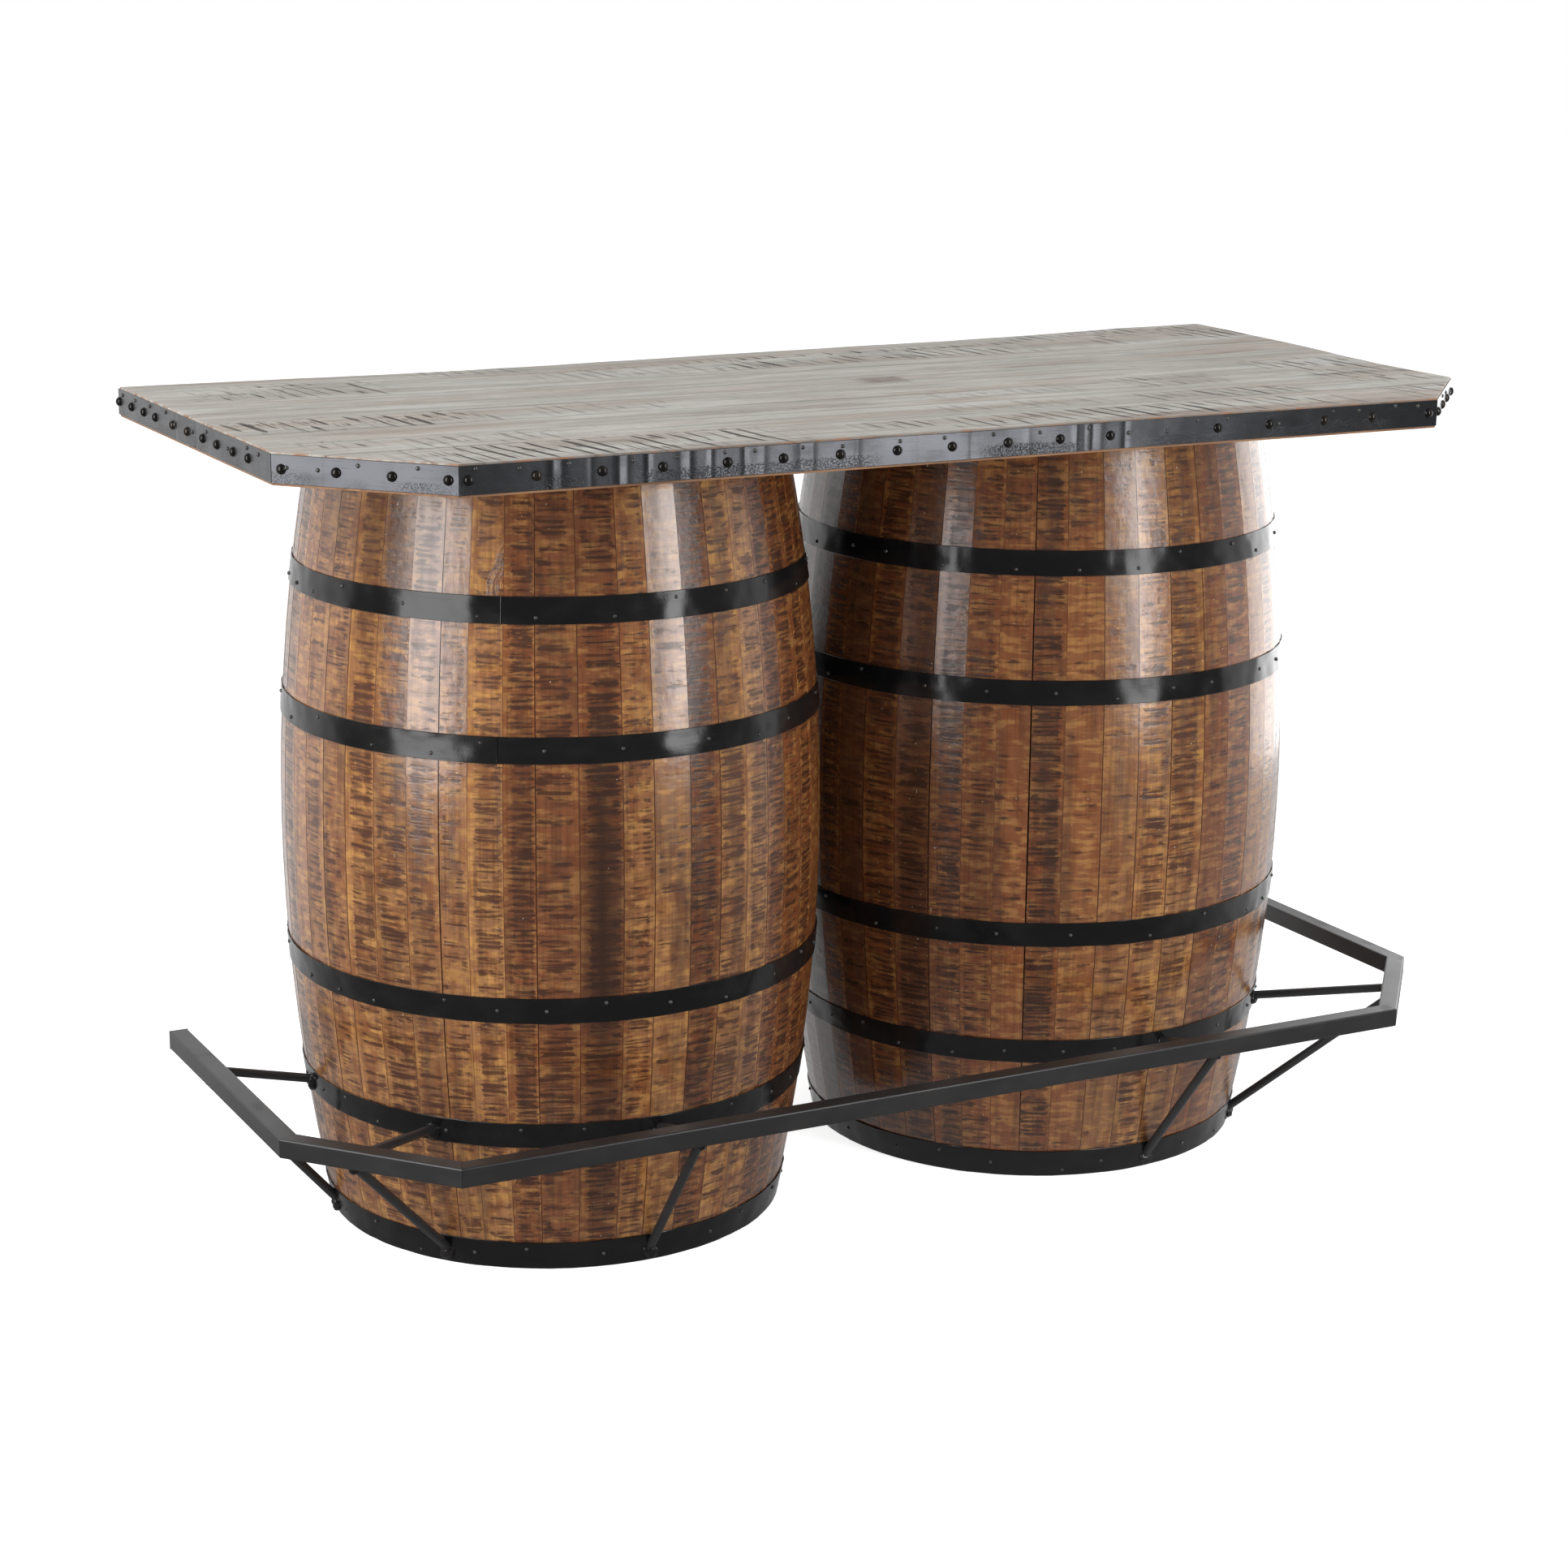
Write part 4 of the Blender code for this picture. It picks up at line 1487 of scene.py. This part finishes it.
@dataclass
class Barrel:
    """One barrel: its staves, hoops and the tacks that hold them."""

    side: str
    middle: Vector
    first_seam: float
    seen_staves: tuple[Stave, ...]
    # Dark patches: painted shade under the top and between the barrels, and smears in the wood.
    smears_and_shade: tuple[SmearAndShade, ...]
    laps: dict[str, float]
    height: float = 1.0497
    end_radius: float = 0.300
    bulge_radius: float = 0.3535
    stave_thickness: float = 0.020
    stave_gap: float = 0.0002
    hoop_thickness: float = 0.0015
    hoop_gap: float = 0.0003
    end_hoop: float = 0.038
    hoop: float = 0.033
    quarter_from_end: float = 0.191
    bilge_from_end: float = 0.360
    end_inset: float = 0.0005
    usual_width: float = 7.4
    width_spread: tuple[float, float] = (0.82, 1.18)
    tone_spread: float = 0.08
    askew: float = 0.005
    stave_steps: int = 20
    stave_ease: float = 0.0006
    smear_and_shade_fade: float = 1.5
    hoop_steps: int = 288
    hoop_rows: int = 6
    hoop_strip: float = 0.004
    hoop_ease: float = 0.0004
    wide_dents: tuple[float, float] = (0.034, 0.0026)
    small_dents: tuple[float, float] = (0.016, 0.0010)
    lap: float = math.radians(7.5)
    lap_rise: float = 0.0002
    lap_reach: float = 0.09
    usual_lap: float = 95.0
    hair: float = 0.001
    same_bearing: float = 0.9999
    tack: Head = Head("hoop_tack_dome", size=0.0054, rise=0.0024, tilt=0.15)
    tack_sink: float = 0.0002
    tack_shares: tuple[float, ...] = (0.24, 0.5, 0.76)
    tack_spacing: tuple[float, float] = (10, 19)

    def radius_at(self, height: float) -> float:
        """The barrel's outer radius at a height: a parabola from end to bulge and back."""
        offset = 2 * height / self.height - 1
        return self.end_radius + (self.bulge_radius - self.end_radius) * (1 - offset * offset)

    def hoops(self) -> dict[str, tuple[float, float]]:
        """The hoops by name.

        Returns:
            Each hoop's lower edge and its own height, from the floor up.
        """
        half = self.hoop / 2
        return {
            "foot_hoop": (self.end_inset, self.end_hoop),
            "lower_quarter_hoop": (self.quarter_from_end - half, self.hoop),
            "lower_bilge_hoop": (self.bilge_from_end - half, self.hoop),
            "upper_bilge_hoop": (self.height - self.bilge_from_end - half, self.hoop),
            "upper_quarter_hoop": (self.height - self.quarter_from_end - half, self.hoop),
            "head_hoop": (self.height - self.end_inset - self.end_hoop, self.end_hoop),
        }

    def all_staves(self) -> list[Stave]:
        """The staves in order of bearing from the first seam, all the way round.

        Returns:
            The staves that face the camera, and random ones behind.
        """
        dice = random.Random(self.side)
        staves = list(self.seen_staves)
        left = 360 - sum(stave.width for stave in staves)
        count = round(left / self.usual_width)
        widths = [dice.uniform(*self.width_spread) for _ in range(count)]
        for width in widths:
            tone, marks = dice.choice(list(StaveTone)), dice.choice(list(StaveMarks))
            staves.append(Stave(width * left / sum(widths), tone, marks))
        return staves

    def build_section(self) -> bpy.types.Object:
        """The long section of a stave, upright on +X.

        Returns:
            The section, for each stave to be spun from.
        """
        rise = self.height / self.stave_steps
        foot, next_up = self.radius_at(0), self.radius_at(rise)
        middle = Vector((foot - self.stave_thickness / 2, 0, rise / 2))
        section = Bench.sheet(
            "stave_section", middle, (math.pi / 2, 0, 0), (self.stave_thickness, rise), (1, 1)
        )
        with Bench.editing(section):
            Bench.select(section, Element.EDGES, lambda spot: spot.z > rise / 2)
            bpy.ops.transform.translate(value=(next_up - foot, 0, 0))
            for step in range(2, self.stave_steps + 1):
                out = self.radius_at(step * rise) - self.radius_at((step - 1) * rise)
                bpy.ops.mesh.extrude_region_move(
                    TRANSFORM_OT_translate={"value": (out, 0, rise)}
                )
        return section

    def build_staves(self) -> bpy.types.Object:
        """All the staves, each spun to its own width and set a little askew.

        Returns:
            The staves as one piece.
        """
        dice = random.Random(f"{self.side} staves")
        seeding = random.Random(f"{self.side} seeds")
        section = self.build_section()
        centre = Matrix.Translation(self.middle)
        hinge = Matrix.Translation((self.end_radius, 0, 0))
        gap = math.degrees(self.stave_gap / self.bulge_radius)
        staves = self.all_staves()
        seeds = [seeding.random() for _ in staves]
        shifts = [seeding.uniform(-self.tone_spread, self.tone_spread) for _ in staves]
        pieces, bearing = [], self.first_seam
        for stave, seed, shift in zip(staves, seeds, shifts):
            piece = Bench.copy(section, Matrix.Identity(4))
            with Bench.editing(piece):
                bpy.ops.mesh.select_all(action="SELECT")
                bpy.ops.mesh.spin(
                    steps=2,
                    angle=-math.radians(stave.width - gap),
                    center=(0, 0, 0),
                    axis=(0, 0, 1),
                )
            self.mark_stave(piece, stave, seed, shift)
            turn = Matrix.Rotation(math.radians(bearing + gap / 2), 4, "Z")
            askew = hinge @ Matrix.Rotation(dice.gauss(0, self.askew), 4, "Z") @ hinge.inverted()
            half = Matrix.Rotation(math.radians(stave.width / 2), 4, "Z")
            piece.matrix_world = centre @ turn @ half @ askew @ half.inverted()
            pieces.append(piece)
            bearing += stave.width
        bpy.data.objects.remove(section)
        joined = Bench.join(f"{self.side}_staves", pieces)
        Bench.turn_outwards(joined)
        Bench.pick(joined)
        bpy.ops.object.shade_smooth()
        Bench.ease(joined, self.stave_ease, segments=2, sharper_than=0.9, harden_normals=True)
        # Store the dark patches: painted shade under the top and between the barrels, and smears.
        Bench.mark(joined, "smoky", self.smear_and_shade_at)
        return joined

    def mark_stave(
        self, piece: bpy.types.Object, stave: Stave, seed: float, shift: float
    ) -> None:
        """Store on one stave what its finish reads, before the stave is put in place.

        Args:
            piece: The stave, which starts at bearing 0.
            stave: What it is like.
            seed: Its own random number.
            shift: How far its tone is off the named one.
        """
        rows, comb = stave.marks.value
        same_all_over = {"seed": seed, "tone": stave.tone.value + shift, "rows": rows, "comb": comb}
        for name, number in same_all_over.items():
            Bench.mark(piece, name, lambda spot, value=number: value)
        width = math.radians(stave.width)
        Bench.mark(piece, "across", lambda spot: 2 * math.atan2(spot.y, spot.x) / width - 1)

    def smear_and_shade_at(self, spot: Vector) -> float:
        """How dark the smears and the painted shade are at a place on the barrel.

        Args:
            spot: The place.

        Returns:
            The amount of the darkest patch there.
        """
        out = spot - self.middle
        amounts = [0.0]
        for dark_patch in self.smears_and_shade:
            bearing = math.degrees(math.atan2(out.y, out.x)) - dark_patch.bearing
            aside = (bearing + 180) % 360 - 180
            upward = (spot.z - dark_patch.height) / dark_patch.half_height
            reach = math.hypot(aside / dark_patch.half_width, upward)
            amounts.append(dark_patch.amount * min(max(self.smear_and_shade_fade - reach, 0), 1))
        return max(amounts)

    def build_hoop(self, name: str, bottom: float, tall: float) -> bpy.types.Object:
        """One iron hoop, closed by lapping its end over its start.

        Args:
            name: The hoop's name.
            bottom: The height of its lower edge.
            tall: Its own height.

        Returns:
            The hoop.
        """
        proud = self.hoop_gap + self.hoop_thickness
        low, high = self.radius_at(bottom) + proud, self.radius_at(bottom + tall) + proud
        middle = Vector((low + self.hoop_strip / 2, 0, bottom + tall / 2))
        hoop = Bench.sheet(
            f"{self.side}_{name}_iron",
            middle,
            (math.pi / 2, 0, 0),
            (self.hoop_strip, tall),
            (1, self.hoop_rows),
        )
        with Bench.editing(hoop):
            Bench.select(hoop, Element.POINTS, lambda spot: spot.x > middle.x)
            bpy.ops.mesh.delete(type="VERT")
            Bench.select(hoop, Element.POINTS, lambda spot: spot.z > bottom + tall - self.hair)
            bpy.ops.transform.translate(
                value=(high - low, 0, 0),
                use_proportional_edit=True,
                proportional_edit_falloff="LINEAR",
                proportional_size=tall,
            )
            bpy.ops.mesh.select_all(action="SELECT")
            bpy.ops.mesh.spin(
                steps=self.hoop_steps,
                angle=-(2 * math.pi + self.lap),
                center=(0, 0, 0),
                axis=(0, 0, 1),
            )
            bpy.ops.mesh.select_all(action="SELECT")
            bpy.ops.mesh.normals_make_consistent(inside=False)
            self.lift_lap_end(hoop)
        bearing = math.radians(self.laps.get(name, self.usual_lap)) - self.lap
        hoop.matrix_world = Matrix.Translation(self.middle) @ Matrix.Rotation(bearing, 4, "Z")
        hoop = Bench.join(hoop.name, [hoop])
        Bench.dent(hoop, *self.wide_dents)
        Bench.dent(hoop, *self.small_dents)
        Bench.modify(hoop, "SOLIDIFY", thickness=self.hoop_thickness, offset=-1)
        Bench.ease(hoop, self.hoop_ease, segments=1)
        Bench.smooth(hoop)
        return hoop

    def lift_lap_end(self, hoop: bpy.types.Object) -> None:
        """Raise a hoop's open end over its start, in edit mode.

        Args:
            hoop: The hoop, which starts at bearing 0.
        """
        outward = Vector((math.cos(self.lap), math.sin(self.lap), 0))
        bpy.ops.mesh.select_mode(type="EDGE")
        bpy.ops.mesh.select_all(action="DESELECT")
        form = bmesh.from_edit_mesh(hoop.data)
        for edge in form.edges:
            upright = abs(edge.verts[0].co.z - edge.verts[1].co.z) > self.hair
            shares = [point.co.xy.normalized().dot(outward.xy) for point in edge.verts]
            at_end = min(shares) > self.same_bearing
            edge.select_set(edge.is_boundary and upright and at_end)
        bmesh.update_edit_mesh(hoop.data)
        bpy.ops.transform.translate(
            value=outward * (self.hoop_thickness + self.lap_rise),
            use_proportional_edit=True,
            use_proportional_connected=True,
            proportional_edit_falloff="SMOOTH",
            proportional_size=self.lap_reach,
        )

    def build_tacks(self) -> bpy.types.Object:
        """The small tacks in the hoops, in three loose rows.

        Returns:
            The tacks as one piece.
        """
        dice = random.Random(f"{self.side} tacks")
        places = []
        for bottom, tall in self.hoops().values():
            turn = dice.uniform(0, self.tack_spacing[0])
            while turn < 360:
                height = bottom + tall * dice.choice(self.tack_shares)
                reach = self.radius_at(height) + self.hoop_gap + self.hoop_thickness - self.tack_sink
                angle = math.radians(turn)
                spot = self.middle + Vector((math.cos(angle) * reach, math.sin(angle) * reach, height))
                places.append(self.tack.place(spot, angle + math.pi / 2, dice))
                turn += dice.uniform(*self.tack_spacing)
        return Bench.repeat(f"{self.side}_hoop_tacks", self.tack.build(), places)

    def build(self, finishes: Finishes) -> None:
        """Model, dress and hand over every piece of the barrel.

        Args:
            finishes: The materials.
        """
        staves = self.build_staves()
        hand_over(staves, finishes.staves, "stave_wood", f"{self.side}_barrel_staves")
        for name, (bottom, tall) in self.hoops().items():
            hoop = self.build_hoop(name, bottom, tall)
            hand_over(hoop, finishes.hoops, "hoop_iron", f"{self.side}_{name}")
        hand_over(self.build_tacks(), finishes.tacks, "hoop_iron")
        ends = [f"{self.side}_barrel_{end}_head" for end in ("bottom", "top")]
        dress_nodes(finishes.heads, [*ends, f"{self.side}_top_cleat"])


@dataclass
class FootRail:
    """The painted foot rail: packed tubes and struts, with weld beads at the struts' ends."""

    bead_size: float = 0.021
    bead_shape: tuple[float, float, float] = (1.05, 0.62, 0.9)
    bead_lumps: tuple[float, float] = (0.006, 0.0045)
    bead_spread: tuple[float, float] = (0.9, 1.15)
    at_barrel: float = 1.0
    at_tube: float = 0.62
    seed: int = 11

    def struts(self) -> list[str]:
        """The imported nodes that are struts."""
        return sorted(name for name in frame["nodes"] if name.endswith("_strut"))

    def strut_ends(self, name: str) -> tuple[Vector, Vector]:
        """The middles of a strut's two ends.

        Args:
            name: The strut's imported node.

        Returns:
            The end at the barrel and the end at the tube.
        """
        side = name.split("_")[0]
        low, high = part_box(f"{side}_barrel_staves")
        middle = (low + high) / 2
        spots = [point.co.copy() for point in frame["nodes"][name].data.vertices]
        spots.sort(key=lambda spot: (spot.xy - middle.xy).length)
        share = len(spots) // 4
        ends = [sum(part, Vector()) / len(part) for part in (spots[:share], spots[-share:])]
        return ends[0], ends[1]

    def build_bead(self) -> bpy.types.Object:
        """A lumpy bead of weld.

        Returns:
            The bead, about the origin.
        """
        bpy.ops.object.select_all(action="DESELECT")
        bpy.ops.mesh.primitive_ico_sphere_add(subdivisions=4, radius=self.bead_size / 2)
        bead = Bench.take_new("weld_bead")
        with Bench.editing(bead):
            bpy.ops.mesh.select_all(action="SELECT")
            bpy.ops.transform.resize(value=self.bead_shape, center_override=(0, 0, 0))
        Bench.dent(bead, *self.bead_lumps)
        Bench.smooth(bead, degrees=80)
        return bead

    def build_welds(self) -> bpy.types.Object:
        """Beads of weld at both ends of every strut.

        Returns:
            The beads as one piece.
        """
        dice = random.Random(self.seed)
        places = []
        for name in self.struts():
            foot, head = self.strut_ends(name)
            run = head - foot
            turn = Matrix.Rotation(math.atan2(run.y, run.x) + math.pi / 2, 4, "Z")
            roll = Matrix.Rotation(dice.uniform(0, math.pi), 4, "Y")
            for end, size in ((foot, self.at_barrel), (head, self.at_tube)):
                scale = Matrix.Scale(size * dice.uniform(*self.bead_spread), 4)
                places.append(Matrix.Translation(end) @ turn @ roll @ scale)
        return Bench.repeat("strut_welds", self.build_bead(), places)

    def build(self, finishes: Finishes) -> None:
        """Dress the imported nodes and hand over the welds.

        Args:
            finishes: The materials.
        """
        tubes = sorted(name for name in frame["nodes"] if name.startswith("foot_rail"))
        dress_nodes(finishes.rail, [*tubes, *self.struts()])
        hand_over(self.build_welds(), finishes.welds, "rail_paint")


@dataclass(frozen=True)
class Softbox:
    """A large soft lamp, by its bearing from the table in degrees from +Y towards +X."""

    name: str
    bearing: float
    distance: float
    heights: tuple[float, float]
    width: float
    brightness: float


@dataclass
class Studio:
    """The floor, lamps, surroundings and camera."""

    camera_place: tuple[float, float, float] = (-2.00280, -3.75267, 1.62689)
    yaw: float = 27.418
    pitch: float = 14.427
    roll: float = 0.495
    lens: float = 74.5
    softboxes: tuple[Softbox, ...] = (
        Softbox("left_softbox", -104.0, 3.0, (0.15, 2.8), 1.35, 5.5),
        Softbox("right_softbox", 156.5, 2.6, (0.22, 2.8), 0.60, 7.4),
        Softbox("rim_softbox", 74.0, 2.7, (0.02, 1.3), 2.0, 2.2),
    )
    lit_height: float = 0.6
    floor_size: float = 40
    floor_glow: float = 0.8
    ambient: float = 0.46
    dim: float = 0.12

    def build_camera(self) -> None:
        """The camera at the photo's place, angle and lens."""
        yaw, pitch, roll = (math.radians(a) for a in (self.yaw, self.pitch, self.roll))
        ahead = Vector(
            (math.sin(yaw) * math.cos(pitch), math.cos(yaw) * math.cos(pitch), -math.sin(pitch))
        )
        level = Vector((math.cos(yaw), -math.sin(yaw), 0))
        upright = level.cross(ahead)
        right = level * math.cos(roll) + upright * math.sin(roll)
        up = upright * math.cos(roll) - level * math.sin(roll)
        bpy.ops.object.camera_add()
        camera = bpy.context.object
        camera.name = "camera"
        camera.data.lens = self.lens
        axes = Matrix((right, up, -ahead)).transposed()
        camera.matrix_world = Matrix.Translation(Vector(self.camera_place)) @ axes.to_4x4()
        bpy.context.scene.camera = camera

    def build_softbox(self, box: Softbox) -> None:
        """One lamp, facing the middle of the table.

        Args:
            box: What the lamp is like.
        """
        low, high = box.heights
        bearing = math.radians(box.bearing)
        spot = Vector((math.sin(bearing), math.cos(bearing), 0)) * box.distance
        spot.z = (low + high) / 2
        ahead = Vector((0, 0, self.lit_height)) - spot
        turn = ahead.to_track_quat("-Z", "Y").to_euler()
        bpy.ops.object.light_add(type="AREA", location=spot, rotation=turn)
        lamp = bpy.context.object
        lamp.name = box.name
        lamp.data.shape = "RECTANGLE"
        lamp.data.size, lamp.data.size_y = box.width, high - low
        lamp.data.energy = math.pi * box.width * (high - low) * box.brightness

    def mirrored_level(self, recipe: Recipe, low: float, high: float) -> Number:
        """How bright what stands round the table is in its gloss.

        Args:
            recipe: The nodes of the floor or of the surroundings.
            low: How far beyond the table it starts to rise, or before it if negative.
            high: How far beyond the table it is white.

        Returns:
            The level, which is dim on the camera's side.
        """
        yaw = math.radians(self.yaw)
        beyond = (recipe.x * math.sin(yaw) + recipe.y * math.cos(yaw)).rise(low, high)
        return beyond * (1 - self.dim) + self.dim

    def build_floor(self) -> None:
        """A wide pale floor that keeps the table's shadow and mirrors as a lit backdrop would."""
        bpy.ops.object.select_all(action="DESELECT")
        bpy.ops.mesh.primitive_plane_add(size=self.floor_size)
        floor = Bench.take_new("floor")
        recipe = Recipe("pale_floor")
        recipe.finish({"Base Color": paint(242, 242, 242), "Roughness": 0.9})
        path = recipe.node("ShaderNodeLightPath").outputs
        straight = Number(recipe, path["Is Camera Ray"]).most(
            Number(recipe, path["Is Transmission Ray"])
        )
        glow = recipe.glow(straight * self.floor_glow)
        lit = recipe.node("ShaderNodeAddShader", inputs={0: recipe.shader.outputs[0], 1: glow})
        mirrored = recipe.glow(self.mirrored_level(recipe, -0.8, 1.2))
        shares = {0: path["Is Glossy Ray"], 1: lit.outputs[0], 2: mirrored}
        both = recipe.node("ShaderNodeMixShader", inputs=shares)
        output = recipe.tree.nodes["Material Output"]
        recipe.tree.links.new(both.outputs[0], output.inputs["Surface"])
        floor.data.materials.append(recipe.material)

    def build_surroundings(self) -> None:
        """Soft light from all round: white to the eye, and white in gloss beyond the table."""
        world = bpy.context.scene.world or bpy.data.worlds.new("surroundings")
        bpy.context.scene.world = world
        world.use_nodes = True
        recipe = Recipe.of_world(world)
        path = recipe.node("ShaderNodeLightPath").outputs
        camera, glossy, through = (
            Number(recipe, path[f"Is {kind} Ray"]) for kind in ("Camera", "Glossy", "Transmission")
        )
        level = self.mirrored_level(recipe, -0.25, 0.35)
        strength = camera.most(through).most(glossy * level)
        plain = (1 - camera.most(through).most(glossy)) * self.ambient
        background = world.node_tree.nodes["Background"]
        background.inputs["Color"].default_value = WHITE
        recipe.fill(background.inputs["Strength"], strength + plain)

    def build(self) -> None:
        """Set the whole studio up."""
        self.build_camera()
        for box in self.softboxes:
            self.build_softbox(box)
        self.build_floor()
        self.build_surroundings()
        bpy.context.scene.view_settings.view_transform = "Standard"
        LOG.info("studio ready")


class Finishes:
    """All the materials, made once."""

    def __init__(self) -> None:
        """Make every material."""
        self.staves = StaveFinish().make()
        self.planks = PlankFinish().make()
        self.raw_edge = RawWoodFinish("raw_edge_wood").make()
        self.heads = RawWoodFinish("plain_head_wood").make()
        self.band = IronFinish(
            "blackened_band", paint(72, 73, 76), paint(40, 40, 42), 0.9, 0.27,
            pitted_below=1.046,
            stained=0.35,
        ).make()
        self.hoops = IronFinish(
            "hoop_iron", paint(20, 20, 21), paint(30, 29, 28), 0.0, 0.17,
            gloss=0.4,
        ).make()
        self.tacks = IronFinish("tack_iron", paint(88, 87, 86), paint(56, 54, 52), 0.6, 0.16).make()
        self.nails = IronFinish("nail_iron", paint(30, 28, 26), paint(58, 50, 42), 0.5, 0.14).make()
        self.rail = IronFinish("rail_paint", paint(40, 40, 41), paint(48, 46, 45), 0.0, 0.36).make()
        self.welds = IronFinish("weld_paint", paint(20, 19, 19), paint(34, 31, 30), 0.0, 0.22).make()


def seen_staves(*rows: tuple[float, str, str]) -> tuple[Stave, ...]:
    """Staves from short rows of width in degrees, tone and marks."""
    return tuple(Stave(width, StaveTone[tone], StaveMarks[marks]) for width, tone, marks in rows)


def left_barrel() -> Barrel:
    """The left barrel, with the staves that face the camera as the photo shows them.

    Returns:
        The barrel.
    """
    staves = seen_staves(
        (7.3, "TAN", "DENSE"),
        (6.5, "TAN", "FEW"),
        (7.3, "HONEY", "ROWS"),
        (7.3, "TAN", "COMB"),
        (8.1, "HONEY", "ROWS"),
        (8.1, "TAN", "DENSE"),
        (7.3, "TAN", "ROWS"),
        (6.0, "HONEY", "COMB"),
        (7.3, "HONEY", "ROWS"),
        (6.5, "ORANGE", "DENSE"),
        (8.6, "ORANGE", "ROWS"),
        (8.9, "BROWN", "DENSE"),
        (6.5, "TAN", "COMB"),
        (8.1, "TAN", "FEW"),
        (7.3, "BROWN", "DENSE"),
        (7.3, "HONEY", "ROWS"),
        (6.5, "TAN", "ROWS"),
        (6.2, "BROWN", "DENSE"),
        (7.6, "BROWN", "ROWS"),
        (7.4, "ORANGE", "DENSE"),
        (7.4, "BROWN", "FEW"),
    )
    # The three patches just under the top are painted shade beneath its overhang; the others darken
    # the wood lower down.
    smears_and_shade = (
        SmearAndShade(-148.0, 0.94, 3.5, 0.08, 0.7),
        SmearAndShade(-155.0, 0.92, 4.0, 0.12, 0.6),
        SmearAndShade(-103.5, 0.48, 4.0, 0.22, 0.95),
        SmearAndShade(-103.0, 0.20, 4.5, 0.12, 0.6),
        SmearAndShade(-119.5, 0.60, 3.0, 0.14, 0.5),
        SmearAndShade(-70.0, 0.26, 4.0, 0.06, 0.4),
        SmearAndShade(-168.5, 0.98, 3.0, 0.05, 0.5),
    )
    laps = {"upper_quarter_hoop": -123.4, "upper_bilge_hoop": -124.0, "lower_quarter_hoop": -61.0}
    return Barrel("left", Vector((-BARREL_X, BARREL_Y, 0)), -188.2, staves, smears_and_shade, laps)


def right_barrel() -> Barrel:
    """The right barrel, with the staves that face the camera as the photo shows them.

    Returns:
        The barrel.
    """
    staves = seen_staves(
        (7.3, "BROWN", "ROWS"),
        (7.3, "PLUM", "FEW"),
        (8.6, "BROWN", "ROWS"),
        (8.4, "PLUM", "DENSE"),
        (7.3, "BROWN", "DENSE"),
        (7.3, "BROWN", "COMB"),
        (7.3, "ORANGE", "FEW"),
        (7.3, "BROWN", "DENSE"),
        (8.4, "ORANGE", "FEW"),
        (8.1, "TAN", "FEW"),
        (8.1, "TAN", "COMB"),
        (9.1, "TAN", "ROWS"),
        (7.6, "BROWN", "FEW"),
        (8.6, "BROWN", "ROWS"),
        (7.6, "TAN", "FEW"),
        (7.3, "TAN", "ROWS"),
    )
    # Painted shade on the side that turns towards the left barrel, between the two barrels.
    smears_and_shade = (
        SmearAndShade(-146.0, 0.55, 4.0, 0.30, 0.5),
        SmearAndShade(-131.5, 0.45, 3.5, 0.20, 0.4),
        SmearAndShade(-165.0, 0.60, 5.0, 0.40, 0.35),
    )
    laps = {"upper_quarter_hoop": -20.0, "lower_bilge_hoop": -95.0}
    return Barrel("right", Vector((BARREL_X, BARREL_Y, 0)), -174.9, staves, smears_and_shade, laps)


def main() -> None:
    """Build everything in order."""
    logging.basicConfig(level=logging.INFO, format="%(message)s")
    finishes = Finishes()
    TableTop().build(finishes)
    left_barrel().build(finishes)
    right_barrel().build(finishes)
    FootRail().build(finishes)
    Studio().build()


if __name__ == "__main__":
    main()
